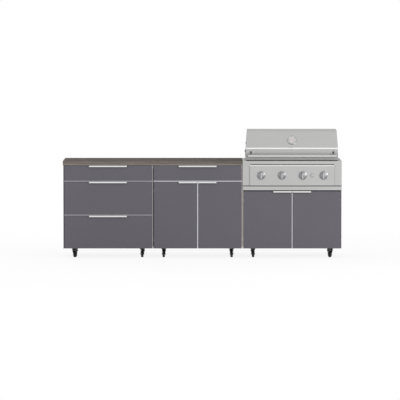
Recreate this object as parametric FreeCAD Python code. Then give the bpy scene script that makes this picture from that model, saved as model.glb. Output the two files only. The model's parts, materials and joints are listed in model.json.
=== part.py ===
import FreeCAD, Part
import math
import os

# Outdoor kitchen island: two cabinets under one worktop and a grill module, all on casters.
# Millimetres. +Z is up, the fronts face -Y, and the origin is on the floor at the middle of the
# overall length and depth.

os.makedirs("parts", exist_ok=True)
V = FreeCAD.Vector
ALONG_X = V(1, 0, 0)
ALONG_Y = V(0, 1, 0)
UP = V(0, 0, 1)
ALIGNED = 0.99
NEAR = 0.01

# Overall layout
CABINET_WIDTH = 819.0
GRILL_WIDTH = 908.0
MODULE_GAP = 4.0
CABINET_DEPTH = 610.0
CABINET_BOTTOM = 87.0
COUNTER_HEIGHT = 892.0
WORKTOP_THICKNESS = 40.0
WORKTOP_OVERHANG = 5.0
WORKTOP_EASE = 2.0
WORKTOP_END_GAP = 1.0
PANEL_SHEET = 3.0
SEAT_GAP = 0.3
RUNNING_CLEARANCE = 0.05

# Flats that stand for a full turn: on pins and small bores, on bars, and on turned pieces in view
PIN_SIDES = 8
BAR_SIDES = 12
ROUND_SIDES = 20

# Front frames: bars whose nibs fill the reveals between the fronts
STILE_WIDTH = 5.0
NIB_SETBACK = 2.0
RAIL_HEIGHT = 30.0
RAIL_SHEET = 3.0
RAIL_NIB = 7.5
MULLION_NIB = 8.0
NIB_GAP = 1.0
MULLION_FLANGE = 34.0
FRAME_STANDOFF = 7.0

# Drawer fronts and doors
FRONT_THICKNESS = 20.0
FRONT_EDGE_EASE = 1.5
REVEAL = 12.0
SIDE_REVEAL = 3.0
TOP_REVEAL = 4.0
TOP_DRAWER_HEIGHT = 136.0
DOOR_REVEAL = 14.0
FRONT_LIFT = 1.0

# Tab pulls
PULL_LENGTH = 360.0
PULL_REACH = 18.0
PULL_LIP = 16.5
PULL_SHEET = 2.5
PULL_OVERLAP = 18.0
PULL_TAPER = 7.0
PULL_PAIR_GAP = 3.0
PULL_BEND_RADIUS = 2.0

# Door hinges
HINGE_OFFSET = 11.0
HINGE_CORNER_RADIUS = 5.0
HINGE_BARREL_RADIUS = 5.0
HINGE_HEIGHT = 30.0
HINGE_ARM_WIDTH = 8.0
HINGE_FOOT = 15.0
HINGE_FROM_END = 80.0
PIN_RADIUS = 2.5
PIN_DEPTH = 15.0
NOTCH_MARGIN = 1.0

# Drawer boxes and runners
RUNNER_SPACE = 13.0
RUNNER_HEIGHT = 40.0
RUNNER_SHEET = 1.5
RUNNER_REACH = 10.0
RUNNER_LENGTH = 500.0
RUNNER_PLAY = 0.35
RUNNER_FROM_BOTTOM = 15.0
RUNNER_END_GAP = 4.0
BOX_SHEET = 2.0
BOX_LENGTH = 500.0
TOP_BOX_HEIGHT = 90.0
DEEP_BOX_HEIGHT = 230.0
BOX_LIFT = 4.0

# Shelf and back panel openings
SHELF_HEIGHT = 380.0
SHELF_SETBACK = 60.0
VENT_LENGTH = 90.0
VENT_HEIGHT = 8.0
VENT_PITCH = 24.0
VENT_FROM_TOP = 48.0
VENT_ROWS = 5
HOSE_HOLE_RADIUS = 30.0
HOSE_HOLE_HEIGHT = 200.0
SPACER_RADIUS = 10.0
SPACER_INSET = 80.0
SPACER_LOW = 200.0
SPACER_HIGH = 540.0

# Casters
WHEEL_RADIUS = 31.5
WHEEL_WIDTH = 22.0
AXLE_RADIUS = 4.0
AXLE_END = 2.0
FORK_CLEARANCE = 1.5
FORK_SHEET = 3.0
FORK_EYE_RADIUS = 11.0
LEG_END_STEPS = 5
CASTER_TRAIL = 26.0
CROWN_TOP = 75.0
CROWN_FRONT = 20.0
CROWN_BACK = 30.0
KING_PIN_RADIUS = 5.0
KING_HEAD_RADIUS = 8.5
KING_HEAD_HEIGHT = 3.7
NUT_SIDES = 6
RACE_RADIUS = 20.0
CASTER_PLATE = 60.0
CASTER_INSET = 97.0
CASTER_SETBACK = 75.0
CASTER_TURN = 15.0

# Grill surround and drip tray
STEEL = 2.0
SURROUND_HEIGHT = 273.0
FASCIA_PROUD = 4.0
FASCIA_RETURN = 14.0
TRAY_FRONT_LIFT = 5.0
TRAY_FRONT_HEIGHT = 36.0
TRAY_REVEAL = 4.0
TRAY_FRONT_DEPTH = 12.0
TRAY_HEIGHT = 22.0
TRAY_LIFT = 6.0
TRAY_LENGTH = 520.0
TRAY_SIDE_GAP = 6.0
TRAY_RAIL_WIDTH = 28.0
TRAY_RAIL_HEIGHT = 2.7
GRILL_DOOR_GAP = 10.0

# Control panel, knobs and button
PANEL_WIDTH = 777.0
PANEL_LIFT = 3.0
PANEL_HEIGHT = 190.0
PANEL_PROUD = 24.0
PANEL_ROLL_RADIUS = 9.0
PANEL_FOLD_RADIUS = 3.0
PANEL_LAP = 12.0
KNOB_COUNT = 4
KNOB_PITCH = 190.7
KNOB_RISE = 93.0
KNOB_RADIUS = 33.0
KNOB_BODY_RADIUS = 26.0
KNOB_SKIRT = 6.0
KNOB_BODY_DEPTH = 20.0
KNOB_PROUD = 38.0
KNOB_GRIP_WIDTH = 14.0
KNOB_GRIP_RADIUS = 31.0
KNOB_GAP = 0.5
KNOB_SHOULDER = 2.0
STEM_RADIUS = 4.0
STEM_HOLE_MARGIN = 1.0
STEM_END_GAP = 1.0
BEZEL_RADIUS = 40.0
BEZEL_DEPTH = 6.0
BEZEL_SLOPE = 2.0
BEZEL_GAP = 0.6
BUTTON_RADIUS = 13.0
BUTTON_DEPTH = 4.4
BUTTON_TRAVEL = 3.0
BUTTON_PROUD = 2.0
BUTTON_EASE = 1.0
BUTTON_BEZEL_WIDTH = 4.0
BUTTON_FROM_CENTRE = 181.0
BUTTON_BUSH_LENGTH = 14.0
BUTTON_BUSH_RADIUS = 8.0

# Gas manifold and burners
MANIFOLD_RADIUS = 11.0
MANIFOLD_SETBACK = 30.0
MANIFOLD_OVERRUN = 44.0
VALVE_SIZE = 26.0
VALVE_BORE_DEPTH = 20.0
NOZZLE_RADIUS = 5.0
NOZZLE_LENGTH = 20.0
INLET_RADIUS = 7.0
INLET_DROP = 60.0
BURNER_RADIUS = 19.0
BURNER_MOUTH_RADIUS = 15.0
BURNER_MOUTH_DEPTH = 40.0
BURNER_START = 48.0
HEAT_PLATE_HALF = 35.0
HEAT_PLATE_RISE = 30.0
HEAT_PLATE_SHEET = 1.5

# Firebox and grates
FIREBOX_HALF_WIDTH = 405.0
FIREBOX_FRONT = 65.0
FIREBOX_BACK = 530.0
FOLD_BELOW_BURNERS = 32.0
FIREBOX_ABOVE_TRAY = 33.0
FIREBOX_SLOPE = 40.0
FIREBOX_RIM = 10.0
LEDGE_WIDTH = 12.0
LEDGE_HEIGHT = 6.0
GRATE_LEDGE_DEPTH = 24.0
PLATE_ABOVE_BURNERS = 50.0
GRATE_COUNT = 3
GRATE_GAP = 1.0
GRATE_THICKNESS = 12.0
GRATE_BORDER = 12.0
GRATE_BAR = 9.0
GRATE_SLOTS = 10
RACK_ABOVE_DECK = 120.0
RACK_FRONT = 315.0
RACK_BACK = 430.0
RACK_HALF_WIDTH = 385.0
RACK_WIRES = 8
RACK_WIRE_RADIUS = 2.5
RACK_LEG_RADIUS = 4.0

# Lid, handle and thermometer
LID_WIDTH = 842.0
LID_SHEET = 2.0
LID_END_LEAN = 10.0
LID_FRONT = 45.0
LID_BACK = 545.0
LID_GAP = 5.0
LID_HEIGHT = 275.0
LID_REAR_LIFT = 18.0
LIP_LIFT = 95.0
LIP_HEIGHT = 21.0
LIP_REACH = 12.0
LIP_BEVEL = 5.0
FACE_FOOT = 5.0
FACE_DEPTH = 90.0
LID_TOP_BACK = 430.0
SHOULDER_LIFT = 163.0
FACE_RADIUS = 40.0
CROWN_RADIUS = 90.0
SHOULDER_RADIUS = 60.0
LID_PIVOT_BACK = 505.0
LID_PIVOT_LIFT = 65.0
LID_PIN_RADIUS = 5.0
LID_PIN_HEAD_RADIUS = 9.0
LID_PIN_HEAD = 5.0
EAR_HALF_WIDTH = 20.0
EAR_SHEET = 4.0
EAR_GAP = 1.0
HANDLE_LENGTH = 813.0
HANDLE_RADIUS = 14.0
HANDLE_REACH = 55.0
HANDLE_LIFT = 41.0
HANDLE_ARM_WIDTH = 14.0
HANDLE_ARM_INSET = 28.0
HANDLE_ARM_RISE = 42.0
HANDLE_ARM_FOOT_RISE = 6.0
THERMOMETER_RADIUS = 43.5
THERMOMETER_DEPTH = 12.0
THERMOMETER_RIM = 6.0
THERMOMETER_RECESS = 4.0
THERMOMETER_SLOPE = 2.0
THERMOMETER_UP_FACE = 78.0

# Places that follow from the sizes above
MODULE_WIDTHS = (CABINET_WIDTH, CABINET_WIDTH, GRILL_WIDTH)
DRAWER_MODULE, DOOR_MODULE, GRILL_MODULE = range(len(MODULE_WIDTHS))
TOTAL_WIDTH = sum(MODULE_WIDTHS) + MODULE_GAP * (len(MODULE_WIDTHS) - 1)
LEFT = -(TOTAL_WIDTH - WORKTOP_OVERHANG) / 2
FRONT = -(CABINET_DEPTH + WORKTOP_OVERHANG - PANEL_PROUD - KNOB_PROUD) / 2
BACK = FRONT + CABINET_DEPTH
CARCASS_TOP = COUNTER_HEIGHT - WORKTOP_THICKNESS
FRAME_FRONT = FRONT + FRONT_THICKNESS + FRAME_STANDOFF
FRAME_BACK = FRAME_FRONT + RAIL_SHEET
NIB_FRONT = FRONT + NIB_SETBACK
SIDE_INSET = STILE_WIDTH + SIDE_REVEAL
SURROUND_BOTTOM = COUNTER_HEIGHT - SURROUND_HEIGHT
TRAY_FRONT_BOTTOM = SURROUND_BOTTOM + TRAY_FRONT_LIFT
TRAY_BOTTOM = TRAY_FRONT_BOTTOM + TRAY_LIFT
FASCIA_BOTTOM = TRAY_FRONT_BOTTOM + TRAY_FRONT_HEIGHT + TRAY_REVEAL
PANEL_BOTTOM = FASCIA_BOTTOM + PANEL_LIFT
PANEL_TOP = PANEL_BOTTOM + PANEL_HEIGHT
KNOB_HEIGHT = PANEL_BOTTOM + KNOB_RISE
FIREBOX_FOLD = KNOB_HEIGHT - FOLD_BELOW_BURNERS
FIREBOX_BOTTOM = TRAY_BOTTOM + TRAY_HEIGHT + FIREBOX_ABOVE_TRAY
GRATE_LEDGE_TOP = COUNTER_HEIGHT - GRATE_LEDGE_DEPTH
PLATE_LEDGE_TOP = KNOB_HEIGHT + PLATE_ABOVE_BURNERS
RACK_HEIGHT = COUNTER_HEIGHT + RACK_ABOVE_DECK
LID_BOTTOM = COUNTER_HEIGHT + LID_GAP
LID_TOP = LID_BOTTOM + LID_HEIGHT
LID_REAR_BOTTOM = LID_BOTTOM + LID_REAR_LIFT
LIP_BOTTOM = LID_BOTTOM + LIP_LIFT
LIP_TOP = LIP_BOTTOM + LIP_HEIGHT
LID_SHOULDER = LID_BOTTOM + SHOULDER_LIFT
LID_PIVOT_HEIGHT = LID_BOTTOM + LID_PIVOT_LIFT
HANDLE_HEIGHT = LID_BOTTOM + HANDLE_LIFT
FRONTS_TOP = CARCASS_TOP - TOP_REVEAL
FRONTS_BOTTOM = CABINET_BOTTOM + FRONT_LIFT
TOP_DRAWER_BOTTOM = FRONTS_TOP - TOP_DRAWER_HEIGHT
DEEP_DRAWER_HEIGHT = (TOP_DRAWER_BOTTOM - FRONTS_BOTTOM - 2 * REVEAL) / 2
UPPER_FRONT_TOP = TOP_DRAWER_BOTTOM - REVEAL
LOWER_FRONT_TOP = FRONTS_BOTTOM + DEEP_DRAWER_HEIGHT
GRILL_DOOR_TOP = TRAY_FRONT_BOTTOM - GRILL_DOOR_GAP
NIB_LIFT = REVEAL - RAIL_NIB - NIB_GAP
PANEL_FACE = FRONT - PANEL_PROUD
FASCIA_FACE = FRONT - FASCIA_PROUD
HINGE_Y = FRONT + HINGE_OFFSET
NOTCH_HALF_HEIGHT = HINGE_HEIGHT / 2 + SEAT_GAP
BURNER_END = FRONT + FIREBOX_BACK - STEEL - SEAT_GAP
LID_PIVOT_Y = FRONT + LID_PIVOT_BACK
HANDLE_Y = FRONT + LID_FRONT - HANDLE_REACH
FORK_HALF = WHEEL_WIDTH / 2 + FORK_CLEARANCE + FORK_SHEET


# Basic shapes
def block(x, y, z):
    """A block between two limits on each axis."""
    return Part.makeBox(x[1] - x[0], y[1] - y[0], z[1] - z[0], V(x[0], y[0], z[0]))


def flat_face(corners):
    """A face between corners that lie in one plane."""
    return Part.Face(Part.makePolygon(corners + corners[:1]))


def ring(radius, height, sides):
    """Corners of a round outline about +Z that is drawn with flats."""
    turns = [2 * math.pi * (index + 1 / 2) / sides for index in range(sides)]
    return [V(radius * math.cos(turn), radius * math.sin(turn), height) for turn in turns]


def rod(start, direction, radius, length, sides=PIN_SIDES):
    """A round bar: its corners lie on the circle."""
    return placed(flat_face(ring(radius, 0, sides)).extrude(UP * length), start, direction)


def bore(start, direction, radius, length, sides=PIN_SIDES):
    """The cutter for a round hole: its flats touch the circle, so that what fits the circle clears."""
    return rod(start, direction, radius / math.cos(math.pi / sides), length, sides)


def across(points, x):
    """An outline given in Y and Z, drawn out along X."""
    return flat_face([V(x[0], y, z) for y, z in points]).extrude(V(x[1] - x[0], 0, 0))


def upright(points, z):
    """An outline given in X and Y, drawn out along Z."""
    return flat_face([V(x, y, z[0]) for x, y in points]).extrude(V(0, 0, z[1] - z[0]))


def lengthwise(points, y):
    """An outline given in X and Z, drawn out along Y."""
    return flat_face([V(x, y[0], z) for x, z in points]).extrude(V(0, y[1] - y[0], 0))


def folded(path, sheet):
    """The outline of a folded sheet: the path, and the path moved to its left by the thickness."""
    normals = []
    for (u0, v0), (u1, v1) in zip(path, path[1:]):
        length = math.hypot(u1 - u0, v1 - v0)
        normals.append(((v0 - v1) / length, (u1 - u0) / length))
    moved = []
    for index, (u, v) in enumerate(path):
        a = normals[max(index - 1, 0)]
        b = normals[min(index, len(normals) - 1)]
        share = sheet / (1 + a[0] * b[0] + a[1] * b[1])
        moved.append((u + (a[0] + b[0]) * share, v + (a[1] + b[1]) * share))
    return list(path) + moved[::-1]


def turned(profile, start, direction, sides=ROUND_SIDES):
    """A turned piece drawn with flats. The profile gives radius and distance along the axis."""
    rings = [ring(radius, along, sides) for radius, along in profile]
    faces = [flat_face(rings[0]), flat_face(rings[-1])]
    for low, high in zip(rings, rings[1:]):
        for index in range(sides):
            faces.append(flat_face([low[index - 1], low[index], high[index], high[index - 1]]))
    skin = Part.makeShell(faces)
    skin.sewShape()
    return placed(Part.makeSolid(skin), start, direction)


def placed(shape, start, direction):
    """The shape, modelled about +Z at the origin, moved to a start and a direction."""
    moved = shape.copy()
    moved.Placement = FreeCAD.Placement(start, FreeCAD.Rotation(UP, direction))
    return moved


def fused(shapes):
    """One solid from overlapping shapes."""
    return shapes[0].multiFuse(shapes[1:]).removeSplitter()


def edges_at(shape, axis, *places):
    """Straight edges that run along an axis and pass through one of the places."""
    found = []
    for edge in shape.Edges:
        if edge.Curve.TypeId != "Part::GeomLine":
            continue
        if abs(edge.tangentAt(edge.FirstParameter).dot(axis)) < ALIGNED:
            continue
        middle = edge.CenterOfMass
        for place in places:
            offset = middle - place
            if (offset - axis * offset.dot(axis)).Length < NEAR:
                found.append(edge)
    return found


def save(name, *solids):
    """One file for one node."""
    shape = solids[0] if len(solids) == 1 else Part.makeCompound(list(solids))
    shape.exportStep("parts/" + name + ".step")


def module_span(index):
    """Left and right ends of a module."""
    left = LEFT + sum(MODULE_WIDTHS[:index]) + index * MODULE_GAP
    return left, left + MODULE_WIDTHS[index]


def module_top(index):
    """Height of a module's carcass: the grill module stops under its surround."""
    return SURROUND_BOTTOM if index == GRILL_MODULE else CARCASS_TOP


GRILL_LEFT, GRILL_RIGHT = module_span(GRILL_MODULE)
GRILL_CENTRE = (GRILL_LEFT + GRILL_RIGHT) / 2
PANEL_LEFT = GRILL_CENTRE - PANEL_WIDTH / 2
PANEL_RIGHT = GRILL_CENTRE + PANEL_WIDTH / 2
LID_LEFT = GRILL_CENTRE - LID_WIDTH / 2
LID_RIGHT = GRILL_CENTRE + LID_WIDTH / 2
FIREBOX_LEFT = GRILL_CENTRE - FIREBOX_HALF_WIDTH
FIREBOX_RIGHT = GRILL_CENTRE + FIREBOX_HALF_WIDTH


# Worktop
def worktop():
    """One slab with eased long edges over both cabinets, ending at the grill surround."""
    x = (LEFT - WORKTOP_OVERHANG, GRILL_LEFT - WORKTOP_END_GAP)
    y0 = FRONT - WORKTOP_OVERHANG
    y1 = BACK + WORKTOP_OVERHANG
    slab = block(x, (y0, y1), (CARCASS_TOP, COUNTER_HEIGHT))
    corners = [V(0, y, z) for y in (y0, y1) for z in (CARCASS_TOP, COUNTER_HEIGHT)]
    return slab.makeChamfer(WORKTOP_EASE, edges_at(slab, ALONG_X, *corners))


# Cabinet carcasses
def side_panels():
    """Two panels to each module, behind the stiles."""
    panels = []
    for index in range(len(MODULE_WIDTHS)):
        left, right = module_span(index)
        for x in (left, right - PANEL_SHEET):
            height = (CABINET_BOTTOM, module_top(index))
            panels.append(block((x, x + PANEL_SHEET), (FRAME_BACK, BACK), height))
    return panels


def vent_slots(centre, top):
    """Rows of vent slots through a back panel, in two columns."""
    slots = []
    for row in range(VENT_ROWS):
        z = top - VENT_FROM_TOP - row * VENT_PITCH
        for side in (-1, 1):
            x = centre + side * VENT_LENGTH
            slots.append(block((x - VENT_LENGTH / 2, x + VENT_LENGTH / 2), (BACK - PANEL_SHEET, BACK),
                               (z, z + VENT_HEIGHT)))
    return slots


def back_panels():
    """One panel to each module; the grill module's has vents and a hole for the gas hose."""
    panels = []
    for index in range(len(MODULE_WIDTHS)):
        left, right = module_span(index)
        panel = block((left + PANEL_SHEET, right - PANEL_SHEET), (BACK - PANEL_SHEET, BACK),
                      (CABINET_BOTTOM + PANEL_SHEET, module_top(index)))
        if index == GRILL_MODULE:
            start = V(GRILL_CENTRE, BACK - PANEL_SHEET, HOSE_HOLE_HEIGHT)
            hose_hole = rod(start, ALONG_Y, HOSE_HOLE_RADIUS, PANEL_SHEET, ROUND_SIDES)
            panel = panel.cut([hose_hole] + vent_slots(GRILL_CENTRE, module_top(index)))
        panels.append(panel)
    return panels


def floor_panels():
    """A floor to each module, and the shelf of the middle one."""
    panels = []
    for index in range(len(MODULE_WIDTHS)):
        left, right = module_span(index)
        panels.append(block((left + PANEL_SHEET, right - PANEL_SHEET), (FRAME_BACK, BACK),
                            (CABINET_BOTTOM, CABINET_BOTTOM + PANEL_SHEET)))
    left, right = module_span(DOOR_MODULE)
    depth = (FRONT + SHELF_SETBACK, BACK - PANEL_SHEET)
    height = (SHELF_HEIGHT, SHELF_HEIGHT + PANEL_SHEET)
    panels.append(block((left + PANEL_SHEET, right - PANEL_SHEET), depth, height))
    return panels


# Front frames
def plain_rail(x, top):
    """A flat rail behind the fronts."""
    return block(x, (FRAME_FRONT, FRAME_BACK), (top - RAIL_HEIGHT, top))


def nib_rail(x, front_top):
    """A T rail whose nib fills the reveal above a front that ends at front_top."""
    nib_bottom = front_top + NIB_LIFT
    nib_top = nib_bottom + RAIL_NIB
    middle = front_top + REVEAL / 2
    low = middle - RAIL_HEIGHT / 2
    high = middle + RAIL_HEIGHT / 2
    outline = [(NIB_FRONT, nib_bottom), (FRAME_FRONT, nib_bottom), (FRAME_FRONT, low), (FRAME_BACK, low),
               (FRAME_BACK, high), (FRAME_FRONT, high), (FRAME_FRONT, nib_top), (NIB_FRONT, nib_top)]
    return across(outline, x)


def mullion(centre, z, nib_top):
    """An upright T bar whose nib fills the gap between two doors."""
    nib = MULLION_NIB / 2
    half = MULLION_FLANGE / 2
    flange = block((centre - half, centre + half), (FRAME_FRONT, FRAME_BACK), z)
    tongue = block((centre - nib, centre + nib), (NIB_FRONT, FRAME_FRONT), (FRONTS_BOTTOM, nib_top))
    return fused([flange, tongue])


def front_frames():
    """Stiles at the module edges, rails across them, and a mullion where there are doors."""
    bars = []
    for index in range(len(MODULE_WIDTHS)):
        left, right = module_span(index)
        top = module_top(index)
        inside = (left + STILE_WIDTH, right - STILE_WIDTH)
        for x in (left, right - STILE_WIDTH):
            bars.append(block((x, x + STILE_WIDTH), (NIB_FRONT, FRAME_BACK), (CABINET_BOTTOM, top)))
        bottom_rail_top = CABINET_BOTTOM + RAIL_HEIGHT
        bars.append(plain_rail(inside, bottom_rail_top))
        bars.append(plain_rail(inside, top))
        centre = (left + right) / 2
        half_rail = (RAIL_HEIGHT - REVEAL) / 2
        if index != GRILL_MODULE:
            bars.append(nib_rail(inside, UPPER_FRONT_TOP))
        if index == DRAWER_MODULE:
            bars.append(nib_rail(inside, LOWER_FRONT_TOP))
        if index == DOOR_MODULE:
            height = (bottom_rail_top, UPPER_FRONT_TOP - half_rail)
            bars.append(mullion(centre, height, UPPER_FRONT_TOP - NIB_GAP))
        if index == GRILL_MODULE:
            height = (bottom_rail_top, top - RAIL_HEIGHT)
            bars.append(mullion(centre, height, GRILL_DOOR_TOP - NIB_GAP))
    return bars


# Drawer fronts, doors and pulls
def front_slab(x, z, hinge_side):
    """A slab front with eased upright edges, rounded where a door swings about its hinges."""
    slab = block(x, (FRONT, FRONT + FRONT_THICKNESS), z)
    for side, place in ((-1, x[0]), (1, x[1])):
        edges = edges_at(slab, UP, V(place, FRONT, 0))
        if side == hinge_side:
            slab = slab.makeFillet(HINGE_CORNER_RADIUS, edges)
        else:
            slab = slab.makeChamfer(FRONT_EDGE_EASE, edges)
    return slab


def pull(x, front_top, taper_left, taper_right):
    """A tab pull: a flange on the front's top edge, folded down before it, with tapered ends."""
    back = FRONT + PULL_OVERLAP
    face = FRONT - PULL_REACH
    top = front_top + PULL_SHEET
    path = [(back, front_top), (face + PULL_SHEET, front_top), (face + PULL_SHEET, top - PULL_LIP)]
    strip = across(folded(path, -PULL_SHEET), x)
    strip = strip.makeFillet(PULL_BEND_RADIUS, edges_at(strip, ALONG_X, V(0, face, top)))
    left = PULL_TAPER if taper_left else 0
    right = PULL_TAPER if taper_right else 0
    plan = [(x[0] + left, face), (x[1] - right, face), (x[1], back), (x[0], back)]
    return strip.common(upright(plan, (top - PULL_LIP, top)))


def deep_drawer_tops():
    """Top heights of the two deep drawer fronts, from the upper one down."""
    return UPPER_FRONT_TOP, LOWER_FRONT_TOP


def drawers():
    """Each drawer's module, the heights of its front, and the height of its box."""
    upper, lower = deep_drawer_tops()
    return (
        ("left_top", DRAWER_MODULE, (TOP_DRAWER_BOTTOM, FRONTS_TOP), TOP_BOX_HEIGHT),
        ("left_middle", DRAWER_MODULE, (upper - DEEP_DRAWER_HEIGHT, upper), DEEP_BOX_HEIGHT),
        ("left_bottom", DRAWER_MODULE, (FRONTS_BOTTOM, lower), DEEP_BOX_HEIGHT),
        ("centre_top", DOOR_MODULE, (TOP_DRAWER_BOTTOM, FRONTS_TOP), TOP_BOX_HEIGHT),
    )


def box_bottom(front_bottom):
    """Underside of a drawer box: clear of the rail that the front's lower edge hides."""
    if front_bottom == FRONTS_BOTTOM:
        return CABINET_BOTTOM + RAIL_HEIGHT + BOX_LIFT
    return front_bottom + (RAIL_HEIGHT - REVEAL) / 2 + BOX_LIFT


def drawer_front(module, z):
    """A full-width slab front."""
    left, right = module_span(module)
    return front_slab((left + SIDE_INSET, right - SIDE_INSET), z, 0)


def drawer_pull(module, z):
    """A tab pull in the middle of a drawer front."""
    left, right = module_span(module)
    centre = (left + right) / 2
    return pull((centre - PULL_LENGTH / 2, centre + PULL_LENGTH / 2), z[1], True, True)


def box_sides(module):
    """Outer faces of a drawer box."""
    left, right = module_span(module)
    return left + PANEL_SHEET + RUNNER_SPACE, right - PANEL_SHEET - RUNNER_SPACE


def drawer_box(module, front_bottom, height):
    """Two sides, a back and a bottom, screwed to the front, with the moving runner members."""
    x0, x1 = box_sides(module)
    z0 = box_bottom(front_bottom)
    y0 = FRONT + FRONT_THICKNESS
    y1 = y0 + BOX_LENGTH
    pieces = []
    for x in (x0, x1 - BOX_SHEET):
        pieces.append(block((x, x + BOX_SHEET), (y0, y1), (z0, z0 + height)))
    inside = (x0 + BOX_SHEET, x1 - BOX_SHEET)
    pieces.append(block(inside, (y1 - BOX_SHEET, y1), (z0, z0 + height)))
    pieces.append(block(inside, (y0, y1 - BOX_SHEET), (z0, z0 + BOX_SHEET)))
    for x, side in ((x0, -1), (x1, 1)):
        pieces.append(moving_member(x, side, z0 + RUNNER_FROM_BOTTOM))
    return pieces


def moving_member(face, side, z):
    """The channel on a drawer side that slides inside the fixed one."""
    low = z + RUNNER_SHEET + RUNNER_PLAY
    high = z + RUNNER_HEIGHT - RUNNER_SHEET - RUNNER_PLAY
    tip = face + side * (RUNNER_SPACE + PANEL_SHEET - STILE_WIDTH - RUNNER_PLAY)
    path = [(tip, low), (face, low), (face, high), (tip, high)]
    depth = (FRAME_BACK, FRAME_BACK + RUNNER_LENGTH - RUNNER_END_GAP)
    return lengthwise(folded(path, -side * RUNNER_SHEET), depth)


def fixed_runner(face, side, z):
    """The channel on a side panel that carries the moving one."""
    tip = face + side * RUNNER_REACH
    path = [(tip, z), (face, z), (face, z + RUNNER_HEIGHT), (tip, z + RUNNER_HEIGHT)]
    return lengthwise(folded(path, -side * RUNNER_SHEET), (FRAME_BACK, FRAME_BACK + RUNNER_LENGTH))


# Door places and hinges
def doors():
    """Each door's module, its hinge side (-1 is left) and its top height."""
    return (
        ("centre_left", DOOR_MODULE, -1, UPPER_FRONT_TOP),
        ("centre_right", DOOR_MODULE, 1, UPPER_FRONT_TOP),
        ("grill_left", GRILL_MODULE, -1, GRILL_DOOR_TOP),
        ("grill_right", GRILL_MODULE, 1, GRILL_DOOR_TOP),
    )


def door_span(module, side):
    """Left and right edges of a door."""
    left, right = module_span(module)
    centre = (left + right) / 2
    if side < 0:
        return left + SIDE_INSET, centre - DOOR_REVEAL / 2
    return centre + DOOR_REVEAL / 2, right - SIDE_INSET


def hinge_x(module, side):
    """Place of a door's pins, inside its outer edge."""
    x0, x1 = door_span(module, side)
    return x0 + HINGE_OFFSET if side < 0 else x1 - HINGE_OFFSET


def hinge_heights(top):
    """Middle heights of a door's two hinges."""
    return FRONTS_BOTTOM + HINGE_FROM_END, top - HINGE_FROM_END


def door(module, side, top):
    """A slab door with a notch and two pin holes at each hinge."""
    x0, x1 = door_span(module, side)
    slab = front_slab((x0, x1), (FRONTS_BOTTOM, top), side)
    axis_x = hinge_x(module, side)
    outer = x0 if side < 0 else x1
    inner = axis_x - side * (HINGE_BARREL_RADIUS + NOTCH_MARGIN)
    notch_front = HINGE_Y - HINGE_BARREL_RADIUS - NOTCH_MARGIN
    for middle in hinge_heights(top):
        low = middle - NOTCH_HALF_HEIGHT
        high = middle + NOTCH_HALF_HEIGHT
        notch = block(sorted((outer, inner)), (notch_front, FRONT + FRONT_THICKNESS), (low, high))
        bore_length = high - low + 2 * (PIN_DEPTH + NOTCH_MARGIN)
        start = V(axis_x, HINGE_Y, middle - bore_length / 2)
        slab = slab.cut([notch, bore(start, UP, PIN_RADIUS + RUNNING_CLEARANCE, bore_length)])
    return slab


def door_pull(module, side, top):
    """Half of a paired tab pull, at the inner top corner of a door."""
    left, right = module_span(module)
    inner = (left + right) / 2 + side * PULL_PAIR_GAP / 2
    outer = inner + side * (PULL_LENGTH - PULL_PAIR_GAP) / 2
    x0, x1 = sorted((inner, outer))
    return pull((x0, x1), top, side < 0, side > 0)


def hinge(module, side, middle):
    """A gooseneck hinge: foot on the side panel, arm forward, barrel and pin in the door's notch."""
    left, right = module_span(module)
    wall = left + PANEL_SHEET if side < 0 else right - PANEL_SHEET
    axis_x = hinge_x(module, side)
    half = HINGE_ARM_WIDTH / 2
    inner = axis_x - side * half
    outer = axis_x + side * half
    foot_back = FRAME_BACK + HINGE_FOOT
    plan = [(wall, FRAME_BACK), (outer, FRAME_BACK), (outer, HINGE_Y), (inner, HINGE_Y),
            (inner, foot_back - half), (inner + side * half, foot_back), (wall, foot_back)]
    low = middle - HINGE_HEIGHT / 2
    arm = upright(plan, (low, low + HINGE_HEIGHT))
    barrel = rod(V(axis_x, HINGE_Y, low), UP, HINGE_BARREL_RADIUS, HINGE_HEIGHT)
    pin_length = HINGE_HEIGHT + 2 * PIN_DEPTH
    pin = rod(V(axis_x, HINGE_Y, middle - pin_length / 2), UP, PIN_RADIUS, pin_length)
    return fused([arm, barrel, pin])


def joint_spacers():
    """Round spacers through which neighbouring modules are bolted together."""
    spacers = []
    for index in (DRAWER_MODULE, DOOR_MODULE):
        x = module_span(index)[1]
        for y in (FRONT + SPACER_INSET, BACK - SPACER_INSET):
            for z in (SPACER_LOW, SPACER_HIGH):
                spacers.append(rod(V(x, y, z), ALONG_X, SPACER_RADIUS, MODULE_GAP))
    return spacers


def cabinet_hardware():
    """Fixed runners, door hinges and the spacers between the modules."""
    pieces = []
    for _, module, z, _ in drawers():
        left, right = module_span(module)
        runner_z = box_bottom(z[0]) + RUNNER_FROM_BOTTOM
        pieces.append(fixed_runner(left + PANEL_SHEET, 1, runner_z))
        pieces.append(fixed_runner(right - PANEL_SHEET, -1, runner_z))
    for _, module, side, top in doors():
        for middle in hinge_heights(top):
            pieces.append(hinge(module, side, middle))
    return pieces + joint_spacers()


# Casters
def caster_places():
    """Left-right places of the casters, the same in front and behind."""
    places = []
    for index in range(len(MODULE_WIDTHS)):
        left, right = module_span(index)
        places += [left + CASTER_INSET, right - CASTER_INSET]
    return places


def caster_turn(index):
    """Rest angle of a front caster: only the two outermost stand turned."""
    if index == 0:
        return -CASTER_TURN
    if index == len(caster_places()) - 1:
        return CASTER_TURN
    return 0.0


def set_caster(shape, x, y, angle):
    """A caster piece, modelled about its swivel axis, turned and moved to its place."""
    moved = shape.copy()
    moved.Placement = FreeCAD.Placement(V(x, y, 0), FreeCAD.Rotation(UP, angle)).multiply(shape.Placement)
    return moved


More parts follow.
